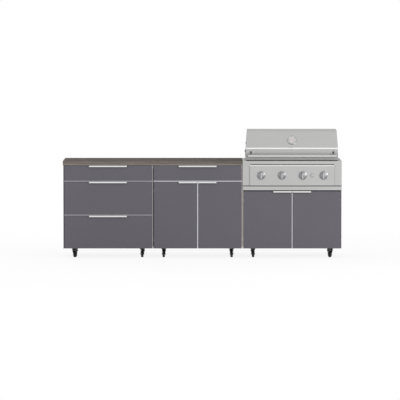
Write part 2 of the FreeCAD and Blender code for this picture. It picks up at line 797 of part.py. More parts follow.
def leg(top_front, top_back, eye_y, x):
    """A fork leg: a cheek that tapers from the crown to a rounded end below the axle."""
    turns = [math.pi * index / LEG_END_STEPS for index in range(LEG_END_STEPS + 1)]
    end = [(eye_y + FORK_EYE_RADIUS * math.cos(turn), WHEEL_RADIUS - FORK_EYE_RADIUS * math.sin(turn))
           for turn in turns]
    return across([top_front, top_back] + end, (x, x + FORK_SHEET))


def axle(y):
    """The axle bolt through the fork's eyes."""
    half = FORK_HALF + AXLE_END
    return rod(V(-half, y, WHEEL_RADIUS), ALONG_X, AXLE_RADIUS, 2 * half)


def swivel_fork():
    """Crown with the king pin hole, two trailing legs and the axle bolt."""
    crown_bottom = CROWN_TOP - FORK_SHEET
    crown = block((-FORK_HALF, FORK_HALF), (-CROWN_FRONT, CROWN_BACK), (crown_bottom, CROWN_TOP))
    top_front = (-CROWN_FRONT, crown_bottom)
    top_back = (CROWN_BACK, crown_bottom)
    legs = [leg(top_front, top_back, CASTER_TRAIL, x) for x in (-FORK_HALF, FORK_HALF - FORK_SHEET)]
    pin_hole = bore(V(0, 0, crown_bottom), UP, KING_PIN_RADIUS + RUNNING_CLEARANCE, FORK_SHEET)
    return fused([crown] + legs + [axle(CASTER_TRAIL)]).cut(pin_hole)


def swivel_mount():
    """Top plate, bearing race and king pin of a swivel caster."""
    plate_bottom = CABINET_BOTTOM - FORK_SHEET
    half = CASTER_PLATE / 2
    plate = block((-half, half), (-half, half), (plate_bottom, CABINET_BOTTOM))
    race_bottom = CROWN_TOP + SEAT_GAP
    race = rod(V(0, 0, race_bottom), UP, RACE_RADIUS, plate_bottom - race_bottom, BAR_SIDES)
    head_top = CROWN_TOP - FORK_SHEET - SEAT_GAP
    pin = rod(V(0, 0, head_top), UP, KING_PIN_RADIUS, plate_bottom - head_top)
    nut = rod(V(0, 0, head_top - KING_HEAD_HEIGHT), UP, KING_HEAD_RADIUS, KING_HEAD_HEIGHT, NUT_SIDES)
    return fused([plate, race, pin, nut])


def rigid_fork():
    """Top plate, legs and axle bolt of a rear caster."""
    plate_bottom = CABINET_BOTTOM - FORK_SHEET
    half = CASTER_PLATE / 2
    plate = block((-half, half), (-half, half), (plate_bottom, CABINET_BOTTOM))
    top_front = (-CROWN_FRONT, plate_bottom)
    top_back = (CROWN_FRONT, plate_bottom)
    legs = [leg(top_front, top_back, 0, x) for x in (-FORK_HALF, FORK_HALF - FORK_SHEET)]
    return fused([plate] + legs + [axle(0)])


def wheel(y):
    """A solid wheel with a running fit on its axle, standing on one of its tread's flats."""
    start = V(-WHEEL_WIDTH / 2, y, WHEEL_RADIUS)
    disc = bore(start, ALONG_X, WHEEL_RADIUS, WHEEL_WIDTH, ROUND_SIDES)
    return disc.cut(bore(start, ALONG_X, AXLE_RADIUS + RUNNING_CLEARANCE, WHEEL_WIDTH))


def casters():
    """Six swivel casters in front and six rigid ones behind."""
    mounts = []
    for index, x in enumerate(caster_places()):
        number = str(index + 1)
        front_y = FRONT + CASTER_SETBACK
        rear_y = BACK - CASTER_SETBACK
        angle = caster_turn(index)
        save("swivel_fork_" + number, set_caster(swivel_fork(), x, front_y, angle))
        save("front_wheel_" + number, set_caster(wheel(CASTER_TRAIL), x, front_y, angle))
        save("rear_wheel_" + number, set_caster(wheel(0), x, rear_y, 0))
        mounts.append(set_caster(swivel_mount(), x, front_y, 0))
        mounts.append(set_caster(rigid_fork(), x, rear_y, 0))
    save("caster_mounts", *mounts)


# Grill surround
def surround_sides():
    """Side walls folded over at the top to form the deck beside the firebox."""
    walls = []
    for outer, inner, turn in ((GRILL_LEFT, FIREBOX_LEFT, -1), (GRILL_RIGHT, FIREBOX_RIGHT, 1)):
        edge = inner - SEAT_GAP if turn < 0 else inner + SEAT_GAP
        path = [(outer, SURROUND_BOTTOM), (outer, COUNTER_HEIGHT), (edge, COUNTER_HEIGHT)]
        walls.append(lengthwise(folded(path, turn * STEEL), (FASCIA_FACE + FASCIA_RETURN, BACK)))
    return walls


def surround_back(sides):
    """Back wall folded over at the top behind the firebox."""
    deck_end = FRONT + FIREBOX_BACK + SEAT_GAP
    path = [(BACK, SURROUND_BOTTOM), (BACK, COUNTER_HEIGHT), (deck_end, COUNTER_HEIGHT)]
    return across(folded(path, STEEL), (GRILL_LEFT + STEEL, GRILL_RIGHT - STEEL)).cut(sides)


def fascia(sides):
    """Front frame round the control panel, with returned ends and a deck strip on top."""
    deck_end = FRONT + FIREBOX_FRONT - SEAT_GAP
    path = [(FASCIA_FACE, FASCIA_BOTTOM), (FASCIA_FACE, COUNTER_HEIGHT), (deck_end, COUNTER_HEIGHT)]
    sheet = across(folded(path, -STEEL), (GRILL_LEFT, GRILL_RIGHT))
    depth = (FASCIA_FACE, FASCIA_FACE + FASCIA_RETURN)
    height = (FASCIA_BOTTOM, COUNTER_HEIGHT)
    ends = [block((x, x + STEEL), depth, height) for x in (GRILL_LEFT, GRILL_RIGHT - STEEL)]
    window = block((PANEL_LEFT + PANEL_LAP, PANEL_RIGHT - PANEL_LAP), (FASCIA_FACE, FASCIA_FACE + STEEL),
                   (PANEL_BOTTOM + PANEL_LAP, PANEL_TOP - PANEL_LAP))
    return fused([sheet] + ends).cut(sides + [window])


def tray_rails():
    """Flat rails on the side walls that carry the drip tray."""
    top = TRAY_BOTTOM - SEAT_GAP
    height = (top - TRAY_RAIL_HEIGHT, top)
    depth = (FASCIA_FACE + FASCIA_RETURN, FRONT + TRAY_LENGTH)
    left = block((GRILL_LEFT + STEEL, GRILL_LEFT + STEEL + TRAY_RAIL_WIDTH), depth, height)
    right = block((GRILL_RIGHT - STEEL - TRAY_RAIL_WIDTH, GRILL_RIGHT - STEEL), depth, height)
    return [left, right]


def surround():
    """Fascia, side walls, back wall and tray rails of the grill's steel jacket."""
    sides = surround_sides()
    return [fascia(sides), surround_back(sides)] + sides + tray_rails()


def drip_tray():
    """A shallow pan behind a folded front that runs the width of the module."""
    front_path = [(FASCIA_FACE + TRAY_FRONT_DEPTH, TRAY_FRONT_BOTTOM), (FASCIA_FACE, TRAY_FRONT_BOTTOM),
                  (FASCIA_FACE, TRAY_FRONT_BOTTOM + TRAY_FRONT_HEIGHT),
                  (FASCIA_FACE + TRAY_FRONT_DEPTH, TRAY_FRONT_BOTTOM + TRAY_FRONT_HEIGHT)]
    front = across(folded(front_path, -STEEL), (GRILL_LEFT, GRILL_RIGHT))
    x = (GRILL_LEFT + STEEL + TRAY_SIDE_GAP, GRILL_RIGHT - STEEL - TRAY_SIDE_GAP)
    y = (FASCIA_FACE + STEEL, FRONT + TRAY_LENGTH)
    z = (TRAY_BOTTOM, TRAY_BOTTOM + TRAY_HEIGHT)
    pan = block(x, y, z)
    hollow = block((x[0] + STEEL, x[1] - STEEL), (y[0] + STEEL, y[1] - STEEL), (z[0] + STEEL, z[1]))
    return [front, pan.cut(hollow)]


# Control panel, knobs and button
def knob_places():
    """Left-right places of the knobs."""
    first = GRILL_CENTRE - KNOB_PITCH * (KNOB_COUNT - 1) / 2
    return [first + index * KNOB_PITCH for index in range(KNOB_COUNT)]


def button_place():
    """Left-right place of the push button."""
    return GRILL_CENTRE + BUTTON_FROM_CENTRE


def bezel(x, outer, inner):
    """A ring on the panel's face with a sloping front."""
    start = V(x, PANEL_FACE, KNOB_HEIGHT)
    cone = turned([(outer, 0), (outer - BEZEL_SLOPE, BEZEL_DEPTH)], start, -ALONG_Y)
    return cone.cut(bore(start, -ALONG_Y, inner, BEZEL_DEPTH, ROUND_SIDES))


def control_panel():
    """A folded pan with a rolled top edge, its bezels and the button's guide bush."""
    x = (PANEL_LEFT, PANEL_RIGHT)
    outer = block(x, (PANEL_FACE, FASCIA_FACE), (PANEL_BOTTOM, PANEL_TOP))
    outer = outer.makeFillet(PANEL_ROLL_RADIUS, edges_at(outer, ALONG_X, V(0, PANEL_FACE, PANEL_TOP)))
    outer = outer.makeFillet(PANEL_FOLD_RADIUS, edges_at(outer, ALONG_X, V(0, PANEL_FACE, PANEL_BOTTOM)))
    inner = block((x[0] + STEEL, x[1] - STEEL), (PANEL_FACE + STEEL, FASCIA_FACE),
                  (PANEL_BOTTOM + STEEL, PANEL_TOP - STEEL))
    inner = inner.makeFillet(PANEL_ROLL_RADIUS - STEEL,
                             edges_at(inner, ALONG_X, V(0, PANEL_FACE + STEEL, PANEL_TOP - STEEL)))
    sizes = [(place, STEM_RADIUS + STEM_HOLE_MARGIN) for place in knob_places()]
    sizes.append((button_place(), STEM_RADIUS + RUNNING_CLEARANCE))
    holes = [bore(V(place, PANEL_FACE, KNOB_HEIGHT), ALONG_Y, radius, STEEL) for place, radius in sizes]
    pieces = [outer.cut([inner] + holes)]
    for place in knob_places():
        pieces.append(bezel(place, BEZEL_RADIUS, KNOB_RADIUS + BEZEL_GAP))
    inner_radius = BUTTON_RADIUS + BEZEL_GAP
    pieces.append(bezel(button_place(), inner_radius + BUTTON_BEZEL_WIDTH, inner_radius))
    start = V(button_place(), PANEL_FACE + STEEL, KNOB_HEIGHT)
    bush = rod(start, ALONG_Y, BUTTON_BUSH_RADIUS, BUTTON_BUSH_LENGTH)
    pieces.append(bush.cut(bore(start, ALONG_Y, STEM_RADIUS + RUNNING_CLEARANCE, BUTTON_BUSH_LENGTH)))
    return pieces


def knob(x):
    """A turned knob with an upright grip bar, on its valve stem."""
    back = PANEL_FACE - KNOB_GAP
    profile = [(KNOB_RADIUS, 0), (KNOB_RADIUS, KNOB_SKIRT),
               (KNOB_BODY_RADIUS, KNOB_SKIRT + KNOB_SHOULDER), (KNOB_BODY_RADIUS, KNOB_BODY_DEPTH)]
    body = turned(profile, V(x, back, KNOB_HEIGHT), -ALONG_Y)
    grip_depth = KNOB_PROUD - KNOB_GAP - KNOB_SKIRT
    grip_start = V(x, back - KNOB_SKIRT, KNOB_HEIGHT)
    half = KNOB_GRIP_WIDTH / 2
    bar = block((x - half, x + half), (PANEL_FACE - KNOB_PROUD, back - KNOB_SKIRT),
                (KNOB_HEIGHT - KNOB_GRIP_RADIUS, KNOB_HEIGHT + KNOB_GRIP_RADIUS))
    grip = bar.common(rod(grip_start, -ALONG_Y, KNOB_GRIP_RADIUS, grip_depth, ROUND_SIDES))
    stem_end = PANEL_FACE + STEEL + VALVE_BORE_DEPTH - STEM_END_GAP
    stem = rod(V(x, back, KNOB_HEIGHT), ALONG_Y, STEM_RADIUS, stem_end - back)
    return fused([body, grip, stem])


def button():
    """A round cap on a stem that slides in the panel's bush."""
    cap_front = PANEL_FACE - BEZEL_DEPTH - BUTTON_PROUD
    start = V(button_place(), cap_front, KNOB_HEIGHT)
    profile = [(BUTTON_RADIUS - BUTTON_EASE, 0), (BUTTON_RADIUS, BUTTON_EASE), (BUTTON_RADIUS, BUTTON_DEPTH)]
    cap = turned(profile, start, ALONG_Y)
    stem_end = PANEL_FACE + STEEL + BUTTON_BUSH_LENGTH - BUTTON_TRAVEL
    stem = rod(start, ALONG_Y, STEM_RADIUS, stem_end - cap_front)
    return fused([cap, stem])


# Gas manifold and burners
def gas_manifold():
    """Pipe, a valve body with a nozzle at each knob, and the inlet stub at the right end."""
    pipe_y = FRONT + MANIFOLD_SETBACK
    places = knob_places()
    x0 = places[0] - MANIFOLD_OVERRUN
    x1 = places[-1] + MANIFOLD_OVERRUN
    pieces = [rod(V(x0, pipe_y, KNOB_HEIGHT), ALONG_X, MANIFOLD_RADIUS, x1 - x0, BAR_SIDES)]
    half = VALVE_SIZE / 2
    for x in places:
        pieces.append(block((x - half, x + half), (PANEL_FACE + STEEL, pipe_y),
                            (KNOB_HEIGHT - half, KNOB_HEIGHT + half)))
        pieces.append(rod(V(x, pipe_y, KNOB_HEIGHT), ALONG_Y, NOZZLE_RADIUS, MANIFOLD_RADIUS + NOZZLE_LENGTH))
    inlet_x = x1 - INLET_RADIUS
    pieces.append(rod(V(inlet_x, pipe_y, KNOB_HEIGHT - INLET_DROP), UP, INLET_RADIUS, INLET_DROP))
    bores = []
    for x in places:
        start = V(x, PANEL_FACE + STEEL, KNOB_HEIGHT)
        bores.append(bore(start, ALONG_Y, STEM_RADIUS + RUNNING_CLEARANCE, VALVE_BORE_DEPTH))
    return fused(pieces).cut(bores)


def burners():
    """A round burner behind each valve, and its folded heat plate above."""
    pieces = []
    y0 = FRONT + BURNER_START
    inner_front = FRONT + FIREBOX_FRONT + STEEL + SEAT_GAP
    for x in knob_places():
        tube = rod(V(x, y0, KNOB_HEIGHT), ALONG_Y, BURNER_RADIUS, BURNER_END - y0, BAR_SIDES)
        mouth = rod(V(x, y0, KNOB_HEIGHT), ALONG_Y, BURNER_MOUTH_RADIUS, BURNER_MOUTH_DEPTH, BAR_SIDES)
        pieces.append(tube.cut(mouth))
        path = [(x - HEAT_PLATE_HALF, PLATE_LEDGE_TOP), (x, PLATE_LEDGE_TOP + HEAT_PLATE_RISE),
                (x + HEAT_PLATE_HALF, PLATE_LEDGE_TOP)]
        pieces.append(lengthwise(folded(path, HEAT_PLATE_SHEET), (inner_front, BURNER_END)))
    return pieces


# Firebox, grates and lid pivots
def firebox_wall(y, inward):
    """Front or back wall: rim on the deck, upright wall, and a slope down to the tray."""
    path = [(y - inward * FIREBOX_RIM, COUNTER_HEIGHT), (y, COUNTER_HEIGHT), (y, FIREBOX_FOLD),
            (y + inward * FIREBOX_SLOPE, FIREBOX_BOTTOM)]
    return across(folded(path, inward * STEEL), (FIREBOX_LEFT, FIREBOX_RIGHT))


def firebox_side(x, inward, walls):
    """End wall between the front and back walls, with its rim on the deck."""
    y0 = FRONT + FIREBOX_FRONT
    y1 = FRONT + FIREBOX_BACK
    outline = [(y0, COUNTER_HEIGHT + STEEL), (y0, FIREBOX_FOLD), (y0 + FIREBOX_SLOPE, FIREBOX_BOTTOM),
               (y1 - FIREBOX_SLOPE, FIREBOX_BOTTOM), (y1, FIREBOX_FOLD), (y1, COUNTER_HEIGHT + STEEL)]
    plate = across(outline, sorted((x, x + inward * STEEL)))
    rim = block(sorted((x - inward * FIREBOX_RIM, x)), (y0, y1), (COUNTER_HEIGHT, COUNTER_HEIGHT + STEEL))
    return fused([plate, rim]).cut(walls)


def ledge(y, inward, top):
    """A bar on the inside of a firebox wall."""
    return block((FIREBOX_LEFT + STEEL, FIREBOX_RIGHT - STEEL), sorted((y, y + inward * LEDGE_WIDTH)),
                 (top - LEDGE_HEIGHT, top))


def lid_ear(side):
    """An upright ear on the deck with the pin that the lid turns on."""
    edge = LID_LEFT if side < 0 else LID_RIGHT
    inner = edge + side * EAR_GAP
    outer = inner + side * EAR_SHEET
    x = sorted((inner, outer))
    depth = (LID_PIVOT_Y - EAR_HALF_WIDTH, LID_PIVOT_Y + EAR_HALF_WIDTH)
    plate = block(x, depth, (COUNTER_HEIGHT, LID_PIVOT_HEIGHT))
    cap = rod(V(x[0], LID_PIVOT_Y, LID_PIVOT_HEIGHT), ALONG_X, EAR_HALF_WIDTH, EAR_SHEET, BAR_SIDES)
    pin_inner = edge - side * (LID_SHEET + LID_PIN_HEAD)
    centre = V(pin_inner, LID_PIVOT_Y, LID_PIVOT_HEIGHT)
    pin = rod(centre, ALONG_X * side, LID_PIN_RADIUS, abs(outer - pin_inner))
    head = rod(V(outer, LID_PIVOT_Y, LID_PIVOT_HEIGHT), ALONG_X * side, LID_PIN_HEAD_RADIUS, LID_PIN_HEAD)
    return fused([plate, cap, pin, head])


def firebox():
    """Four walls with ledges for the heat plates and grates, and the lid's ears and pins."""
    y0 = FRONT + FIREBOX_FRONT
    y1 = FRONT + FIREBOX_BACK
    hole_radius = BURNER_RADIUS + SEAT_GAP
    holes = [bore(V(x, y0, KNOB_HEIGHT), ALONG_Y, hole_radius, STEEL, BAR_SIDES) for x in knob_places()]
    walls = [firebox_wall(y0, 1), firebox_wall(y1, -1)]
    sides = [firebox_side(FIREBOX_LEFT, 1, walls), firebox_side(FIREBOX_RIGHT, -1, walls)]
    pieces = [walls[0].cut(holes), walls[1]] + sides
    for top in (PLATE_LEDGE_TOP, GRATE_LEDGE_TOP):
        pieces.append(ledge(y0 + STEEL, 1, top))
        pieces.append(ledge(y1 - STEEL, -1, top))
    return pieces + [lid_ear(-1), lid_ear(1)]


def grate(x0, x1):
    """A cast grate: a flat casting with long slots between its bars."""
    y = (FRONT + FIREBOX_FRONT + STEEL + SEAT_GAP, BURNER_END)
    plate = block((x0, x1), y, (GRATE_LEDGE_TOP, GRATE_LEDGE_TOP + GRATE_THICKNESS))
    slot_pitch = (x1 - x0 - 2 * GRATE_BORDER + GRATE_BAR) / GRATE_SLOTS
    slots = []
    for index in range(GRATE_SLOTS):
        start = x0 + GRATE_BORDER + index * slot_pitch
        slots.append(block((start, start + slot_pitch - GRATE_BAR),
                           (y[0] + GRATE_BORDER, y[1] - GRATE_BORDER),
                           (GRATE_LEDGE_TOP, GRATE_LEDGE_TOP + GRATE_THICKNESS)))
    return plate.cut(slots)


def warming_rack():
    """Long wires on two end bars whose legs stand on the firebox rim."""
    wires = []
    pitch = (RACK_BACK - RACK_FRONT) / (RACK_WIRES - 1)
    for index in range(RACK_WIRES):
        start = V(GRILL_CENTRE - RACK_HALF_WIDTH, FRONT + RACK_FRONT + index * pitch, RACK_HEIGHT)
        wires.append(rod(start, ALONG_X, RACK_WIRE_RADIUS, 2 * RACK_HALF_WIDTH))
    rim_top = COUNTER_HEIGHT + STEEL
    bar_z = RACK_HEIGHT - RACK_LEG_RADIUS
    for side in (-1, 1):
        x = GRILL_CENTRE + side * RACK_HALF_WIDTH
        foot_x = GRILL_CENTRE + side * FIREBOX_HALF_WIDTH
        wires.append(rod(V(x, FRONT + RACK_FRONT, bar_z), ALONG_Y, RACK_LEG_RADIUS, RACK_BACK - RACK_FRONT))
        for y in (FRONT + RACK_FRONT, FRONT + RACK_BACK):
            top = V(x, y, bar_z)
            foot = V(foot_x, y, rim_top)
            wires.append(rod(foot, top - foot, RACK_LEG_RADIUS, (top - foot).Length))
    below = block((FIREBOX_LEFT - FIREBOX_RIM, FIREBOX_RIGHT + FIREBOX_RIM), (FRONT, BACK),
                  (rim_top - FIREBOX_RIM, rim_top))
    return fused(wires).cut(below)


def cooking_grates():
    """Three grates side by side, and the warming rack above them."""
    x0 = FIREBOX_LEFT + STEEL + SEAT_GAP
    x1 = FIREBOX_RIGHT - STEEL - SEAT_GAP
    width = (x1 - x0 - GRATE_GAP * (GRATE_COUNT - 1)) / GRATE_COUNT
    pieces = []
    for index in range(GRATE_COUNT):
        start = x0 + index * (width + GRATE_GAP)
        pieces.append(grate(start, start + width))
    return pieces + [warming_rack()]


# Lid
def lid_outline():
    """Side view of the lid from its front bottom edge up over the lip and crown to the rear."""
    front = FRONT + LID_FRONT
    lip = front - LIP_REACH
    foot = front - FACE_FOOT
    return [(front, LID_BOTTOM), (front, LIP_BOTTOM), (lip, LIP_BOTTOM + LIP_BEVEL),
            (lip, LIP_TOP - LIP_BEVEL), (foot, LIP_TOP), (foot + FACE_DEPTH, LID_TOP),
            (FRONT + LID_TOP_BACK, LID_TOP), (FRONT + LID_BACK, LID_SHOULDER),
            (FRONT + LID_BACK, LID_REAR_BOTTOM)]


def lid_body(x):
    """The lid's outer form between two ends, with its rounded ridges."""
    points = lid_outline()
    body = across(points, x)
    ridges = ((points[5], FACE_RADIUS), (points[6], CROWN_RADIUS), (points[7], SHOULDER_RADIUS))
    for (y, z), radius in ridges:
        body = body.makeFillet(radius, edges_at(body, ALONG_X, V(0, y, z)))
    return body


def lid_width(x0, x1):
    """The space between two lid ends, which stand upright to the lip and lean inwards above it."""
    corners = [(x0, LID_BOTTOM), (x1, LID_BOTTOM), (x1, LIP_TOP), (x1 - LID_END_LEAN, LID_TOP),
               (x0 + LID_END_LEAN, LID_TOP), (x0, LIP_TOP)]
    return lengthwise(corners, (FRONT + LID_FRONT - LIP_REACH, FRONT + LID_BACK))


def lid():
    """A bent skin between two pressed end caps, open below."""
    body = lid_body((LID_LEFT, LID_RIGHT))
    between_caps = lid_width(LID_LEFT + LID_SHEET, LID_RIGHT - LID_SHEET)
    skin = body.common(between_caps)
    end = min(body.Faces, key=lambda face: face.CenterOfMass.x)
    inside = end.makeOffset2D(-LID_SHEET).extrude(ALONG_X * LID_WIDTH)
    front = FRONT + LID_FRONT + LID_SHEET
    back = FRONT + LID_BACK - LID_SHEET
    below = [(front, LID_BOTTOM - LID_SHEET), (back, LID_BOTTOM - LID_SHEET),
             (back, LID_REAR_BOTTOM + 2 * LID_SHEET), (front, LID_BOTTOM + 2 * LID_SHEET)]
    mouth = across(below, (LID_LEFT + LID_SHEET, LID_RIGHT - LID_SHEET))
    start = V(LID_LEFT, LID_PIVOT_Y, LID_PIVOT_HEIGHT)
    hole = bore(start, ALONG_X, LID_PIN_RADIUS + RUNNING_CLEARANCE, LID_WIDTH)
    caps = body.common(lid_width(LID_LEFT, LID_RIGHT)).cut([between_caps, hole])
    return [skin.cut([inside, mouth])] + caps.Solids


def lid_handle():
    """A tube carried on two arms that reach down and forward from the lid's front."""
    half = HANDLE_LENGTH / 2
    start = V(GRILL_CENTRE - half, HANDLE_Y, HANDLE_HEIGHT)
    tube = Part.makeCylinder(HANDLE_RADIUS, HANDLE_LENGTH, start, ALONG_X)
    pieces = [tube]
    face = FRONT + LID_FRONT
    grip = HANDLE_RADIUS / 2
    outline = [(face, HANDLE_HEIGHT + HANDLE_ARM_RISE), (face, HANDLE_HEIGHT + HANDLE_ARM_FOOT_RISE),
               (HANDLE_Y + grip, HANDLE_HEIGHT - grip), (HANDLE_Y - grip, HANDLE_HEIGHT - grip),
               (HANDLE_Y - grip, HANDLE_HEIGHT + grip)]
    for side in (-1, 1):
        x = GRILL_CENTRE + side * (half - HANDLE_ARM_INSET)
        span = (x - HANDLE_ARM_WIDTH / 2, x + HANDLE_ARM_WIDTH / 2)
        pieces.append(across(outline, span).cut(tube))
    return pieces


def thermometer():
    """A round gauge seated on the lid's sloping face."""
    points = lid_outline()
    foot = V(GRILL_CENTRE, points[4][0], points[4][1])
    slope = V(0, points[5][0] - points[4][0], points[5][1] - points[4][1]).normalize()
    out = V(0, -slope.z, slope.y)
    radius = THERMOMETER_RADIUS
    rim = radius - THERMOMETER_RIM
    floor = THERMOMETER_DEPTH - THERMOMETER_RECESS
    profile = [(radius, 0), (radius, floor), (radius - THERMOMETER_SLOPE, THERMOMETER_DEPTH)]
    start = foot + slope * THERMOMETER_UP_FACE
    case = turned(profile, start, out)
    return case.cut(rod(start + out * floor, out, rim, THERMOMETER_RECESS, ROUND_SIDES))


save("worktop", worktop())
save("side_panels", *side_panels())
save("back_panels", *back_panels())
save("floor_panels", *floor_panels())
save("front_frames", *front_frames())
save("cabinet_hardware", *cabinet_hardware())
for name, module, z, height in drawers():
    save("drawer_front_" + name, drawer_front(module, z))
    save("drawer_pull_" + name, drawer_pull(module, z))
    save("drawer_box_" + name, *drawer_box(module, z[0], height))
for name, module, side, top in doors():
    save("door_" + name, door(module, side, top))
    save("door_pull_" + name, door_pull(module, side, top))
casters()
save("surround", *surround())
save("drip_tray", *drip_tray())
save("control_panel", *control_panel())
for number, x in enumerate(knob_places(), 1):
    save("knob_" + str(number), knob(x))
save("light_button", button())
save("gas_manifold", gas_manifold())
save("burners", *burners())
save("firebox", *firebox())
save("cooking_grates", *cooking_grates())
save("lid", *lid())
save("lid_handle", *lid_handle())
save("thermometer", thermometer())
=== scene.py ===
# %% [markdown]
# # An outdoor kitchen island
#
# The island is three modules in one straight run on black casters: a cabinet with three drawers, a
# cabinet with one drawer over two doors, and a grill module with two doors. A wood-look worktop
# covers the two cabinets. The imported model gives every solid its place, and this notebook gives the
# island its looks: softened edges, turned knobs and wheels, a dial, small fastenings and finishes.

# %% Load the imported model
import bmesh
import bpy
import json
import math
from mathutils import Matrix, Vector


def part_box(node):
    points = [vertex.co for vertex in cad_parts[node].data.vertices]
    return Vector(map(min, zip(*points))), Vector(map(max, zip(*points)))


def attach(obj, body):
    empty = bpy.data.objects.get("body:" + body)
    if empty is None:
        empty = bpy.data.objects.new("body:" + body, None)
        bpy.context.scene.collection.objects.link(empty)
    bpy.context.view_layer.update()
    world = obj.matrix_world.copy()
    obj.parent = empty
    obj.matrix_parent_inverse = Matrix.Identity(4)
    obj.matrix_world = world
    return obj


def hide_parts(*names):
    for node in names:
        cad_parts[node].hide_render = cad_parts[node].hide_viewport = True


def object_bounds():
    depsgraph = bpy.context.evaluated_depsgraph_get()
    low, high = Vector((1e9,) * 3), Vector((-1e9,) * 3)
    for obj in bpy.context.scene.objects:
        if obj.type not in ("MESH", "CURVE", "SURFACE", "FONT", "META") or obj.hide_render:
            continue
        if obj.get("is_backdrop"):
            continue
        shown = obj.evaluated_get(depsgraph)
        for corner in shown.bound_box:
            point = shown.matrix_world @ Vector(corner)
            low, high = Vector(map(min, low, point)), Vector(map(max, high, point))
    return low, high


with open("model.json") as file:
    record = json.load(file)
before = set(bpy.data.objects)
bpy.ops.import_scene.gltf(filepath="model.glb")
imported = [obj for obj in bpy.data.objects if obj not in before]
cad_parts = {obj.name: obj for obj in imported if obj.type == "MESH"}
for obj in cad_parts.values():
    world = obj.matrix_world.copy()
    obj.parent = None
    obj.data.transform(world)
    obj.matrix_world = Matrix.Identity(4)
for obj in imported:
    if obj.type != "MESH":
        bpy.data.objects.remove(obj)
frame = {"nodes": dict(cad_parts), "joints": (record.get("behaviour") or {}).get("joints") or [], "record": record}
node = frame["nodes"]
bodies = frame["record"]["behaviour"]["bodies"]
body_of = {name: body for body, names in bodies.items() for name in names}
slot_of = {part["node"]: part["material_slot"] for part in frame["record"]["subparts"]}
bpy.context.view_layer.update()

# %% [markdown]
# ## Lights, floor and camera
#
# The photograph is a catalogue view: straight from the front, a few degrees above the worktop, on
# white. A very long lens from far away gives nearly parallel lines, so the camera stands 32 m off.
# The light is an even white sky, one softbox far to the right in front, a weaker one far to the left
# and one behind. From there they light the paint but do not blaze in the stainless sheets. They are
# weak enough that paint comes out about as light as its own colour.

# %% Camera
MIDDLE = Vector((-0.0205, -0.30, 0.5355))
VIEW_RISE = math.radians(3.45)
VIEW_DISTANCE = 32.2
SENSOR_WIDTH, LENS_LENGTH = 36, 316
FAR_CLIP = 200
bpy.ops.object.camera_add(
    location=MIDDLE + VIEW_DISTANCE * Vector((0, -math.cos(VIEW_RISE), math.sin(VIEW_RISE))),
    rotation=(math.pi / 2 - VIEW_RISE, 0, 0))
camera = bpy.context.object
camera.name = "long_lens"
camera.data.sensor_width = SENSOR_WIDTH
camera.data.lens = LENS_LENGTH
camera.data.clip_end = FAR_CLIP
bpy.context.scene.camera = camera
bpy.context.scene.view_settings.view_transform = "Standard"
print("camera at", [round(v, 2) for v in camera.location])

# %% Two helpers for shader nodes
def arithmetic(tree, operation, first, second=None, third=None, clamp=False):
    """A Math node; each value is a socket or a number."""
    step = tree.nodes.new("ShaderNodeMath")
    step.operation = operation
    step.use_clamp = clamp
    for place, value in enumerate((first, second, third)):
        if value is None:
            continue
        if isinstance(value, (int, float)):
            step.inputs[place].default_value = value
        else:
            tree.links.new(value, step.inputs[place])
    return step.outputs[0]


def remap(tree, value, low, high, new_low, new_high):
    """A value carried from one range to another, held at its ends."""
    step = tree.nodes.new("ShaderNodeMapRange")
    for label, number in (("From Min", low), ("From Max", high), ("To Min", new_low), ("To Max", new_high)):
        step.inputs[label].default_value = number
    tree.links.new(value, step.inputs["Value"])
    return step.outputs[0]


# %% Floor
MIRROR_SHARE = 0.8
FLOOR_SIZE, FLOOR_SHADE, FLOOR_ROUGHNESS = 120, 0.86, 0.9
FADE_START, FADE_END, NEAR_SHARE = 1.6, 4.5, 0.88


def seen_rays(tree):
    """One for what the camera sees directly, a little less for what gloss and glass show."""
    rays = tree.nodes.new("ShaderNodeLightPath")
    gloss = arithmetic(tree, "MAXIMUM", rays.outputs["Is Glossy Ray"], rays.outputs["Is Transmission Ray"])
    share = arithmetic(tree, "MULTIPLY", gloss, MIRROR_SHARE)
    return arithmetic(tree, "MAXIMUM", rays.outputs["Is Camera Ray"], share)


def stage_material(name):
    """A matt floor that takes a shadow near the island and looks white far off."""
    paint = bpy.data.materials.new(name)
    paint.use_nodes = True
    tree = paint.node_tree
    matt = tree.nodes["Principled BSDF"]
    matt.inputs["Base Color"].default_value = (FLOOR_SHADE, FLOOR_SHADE, FLOOR_SHADE, 1)
    matt.inputs["Roughness"].default_value = FLOOR_ROUGHNESS
    matt.inputs["Specular IOR Level"].default_value = 0
    white = tree.nodes.new("ShaderNodeEmission")
    place = tree.nodes.new("ShaderNodeTexCoord")
    reach = tree.nodes.new("ShaderNodeVectorMath")
    reach.operation = "LENGTH"
    tree.links.new(place.outputs["Object"], reach.inputs[0])
    whiteness = remap(tree, reach.outputs["Value"], FADE_START, FADE_END, NEAR_SHARE, 1.0)
    blend = tree.nodes.new("ShaderNodeMixShader")
    tree.links.new(arithmetic(tree, "MULTIPLY", seen_rays(tree), whiteness), blend.inputs["Fac"])
    tree.links.new(matt.outputs[0], blend.inputs[1])
    tree.links.new(white.outputs[0], blend.inputs[2])
    tree.links.new(blend.outputs[0], tree.nodes["Material Output"].inputs["Surface"])
    return paint


bpy.ops.mesh.primitive_plane_add(size=FLOOR_SIZE, location=(0, 0, 0))
floor = bpy.context.object
floor.name = "studio_floor"
floor.data.materials.append(stage_material("studio_white"))
floor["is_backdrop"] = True
print("floor", FLOOR_SIZE, "m wide")

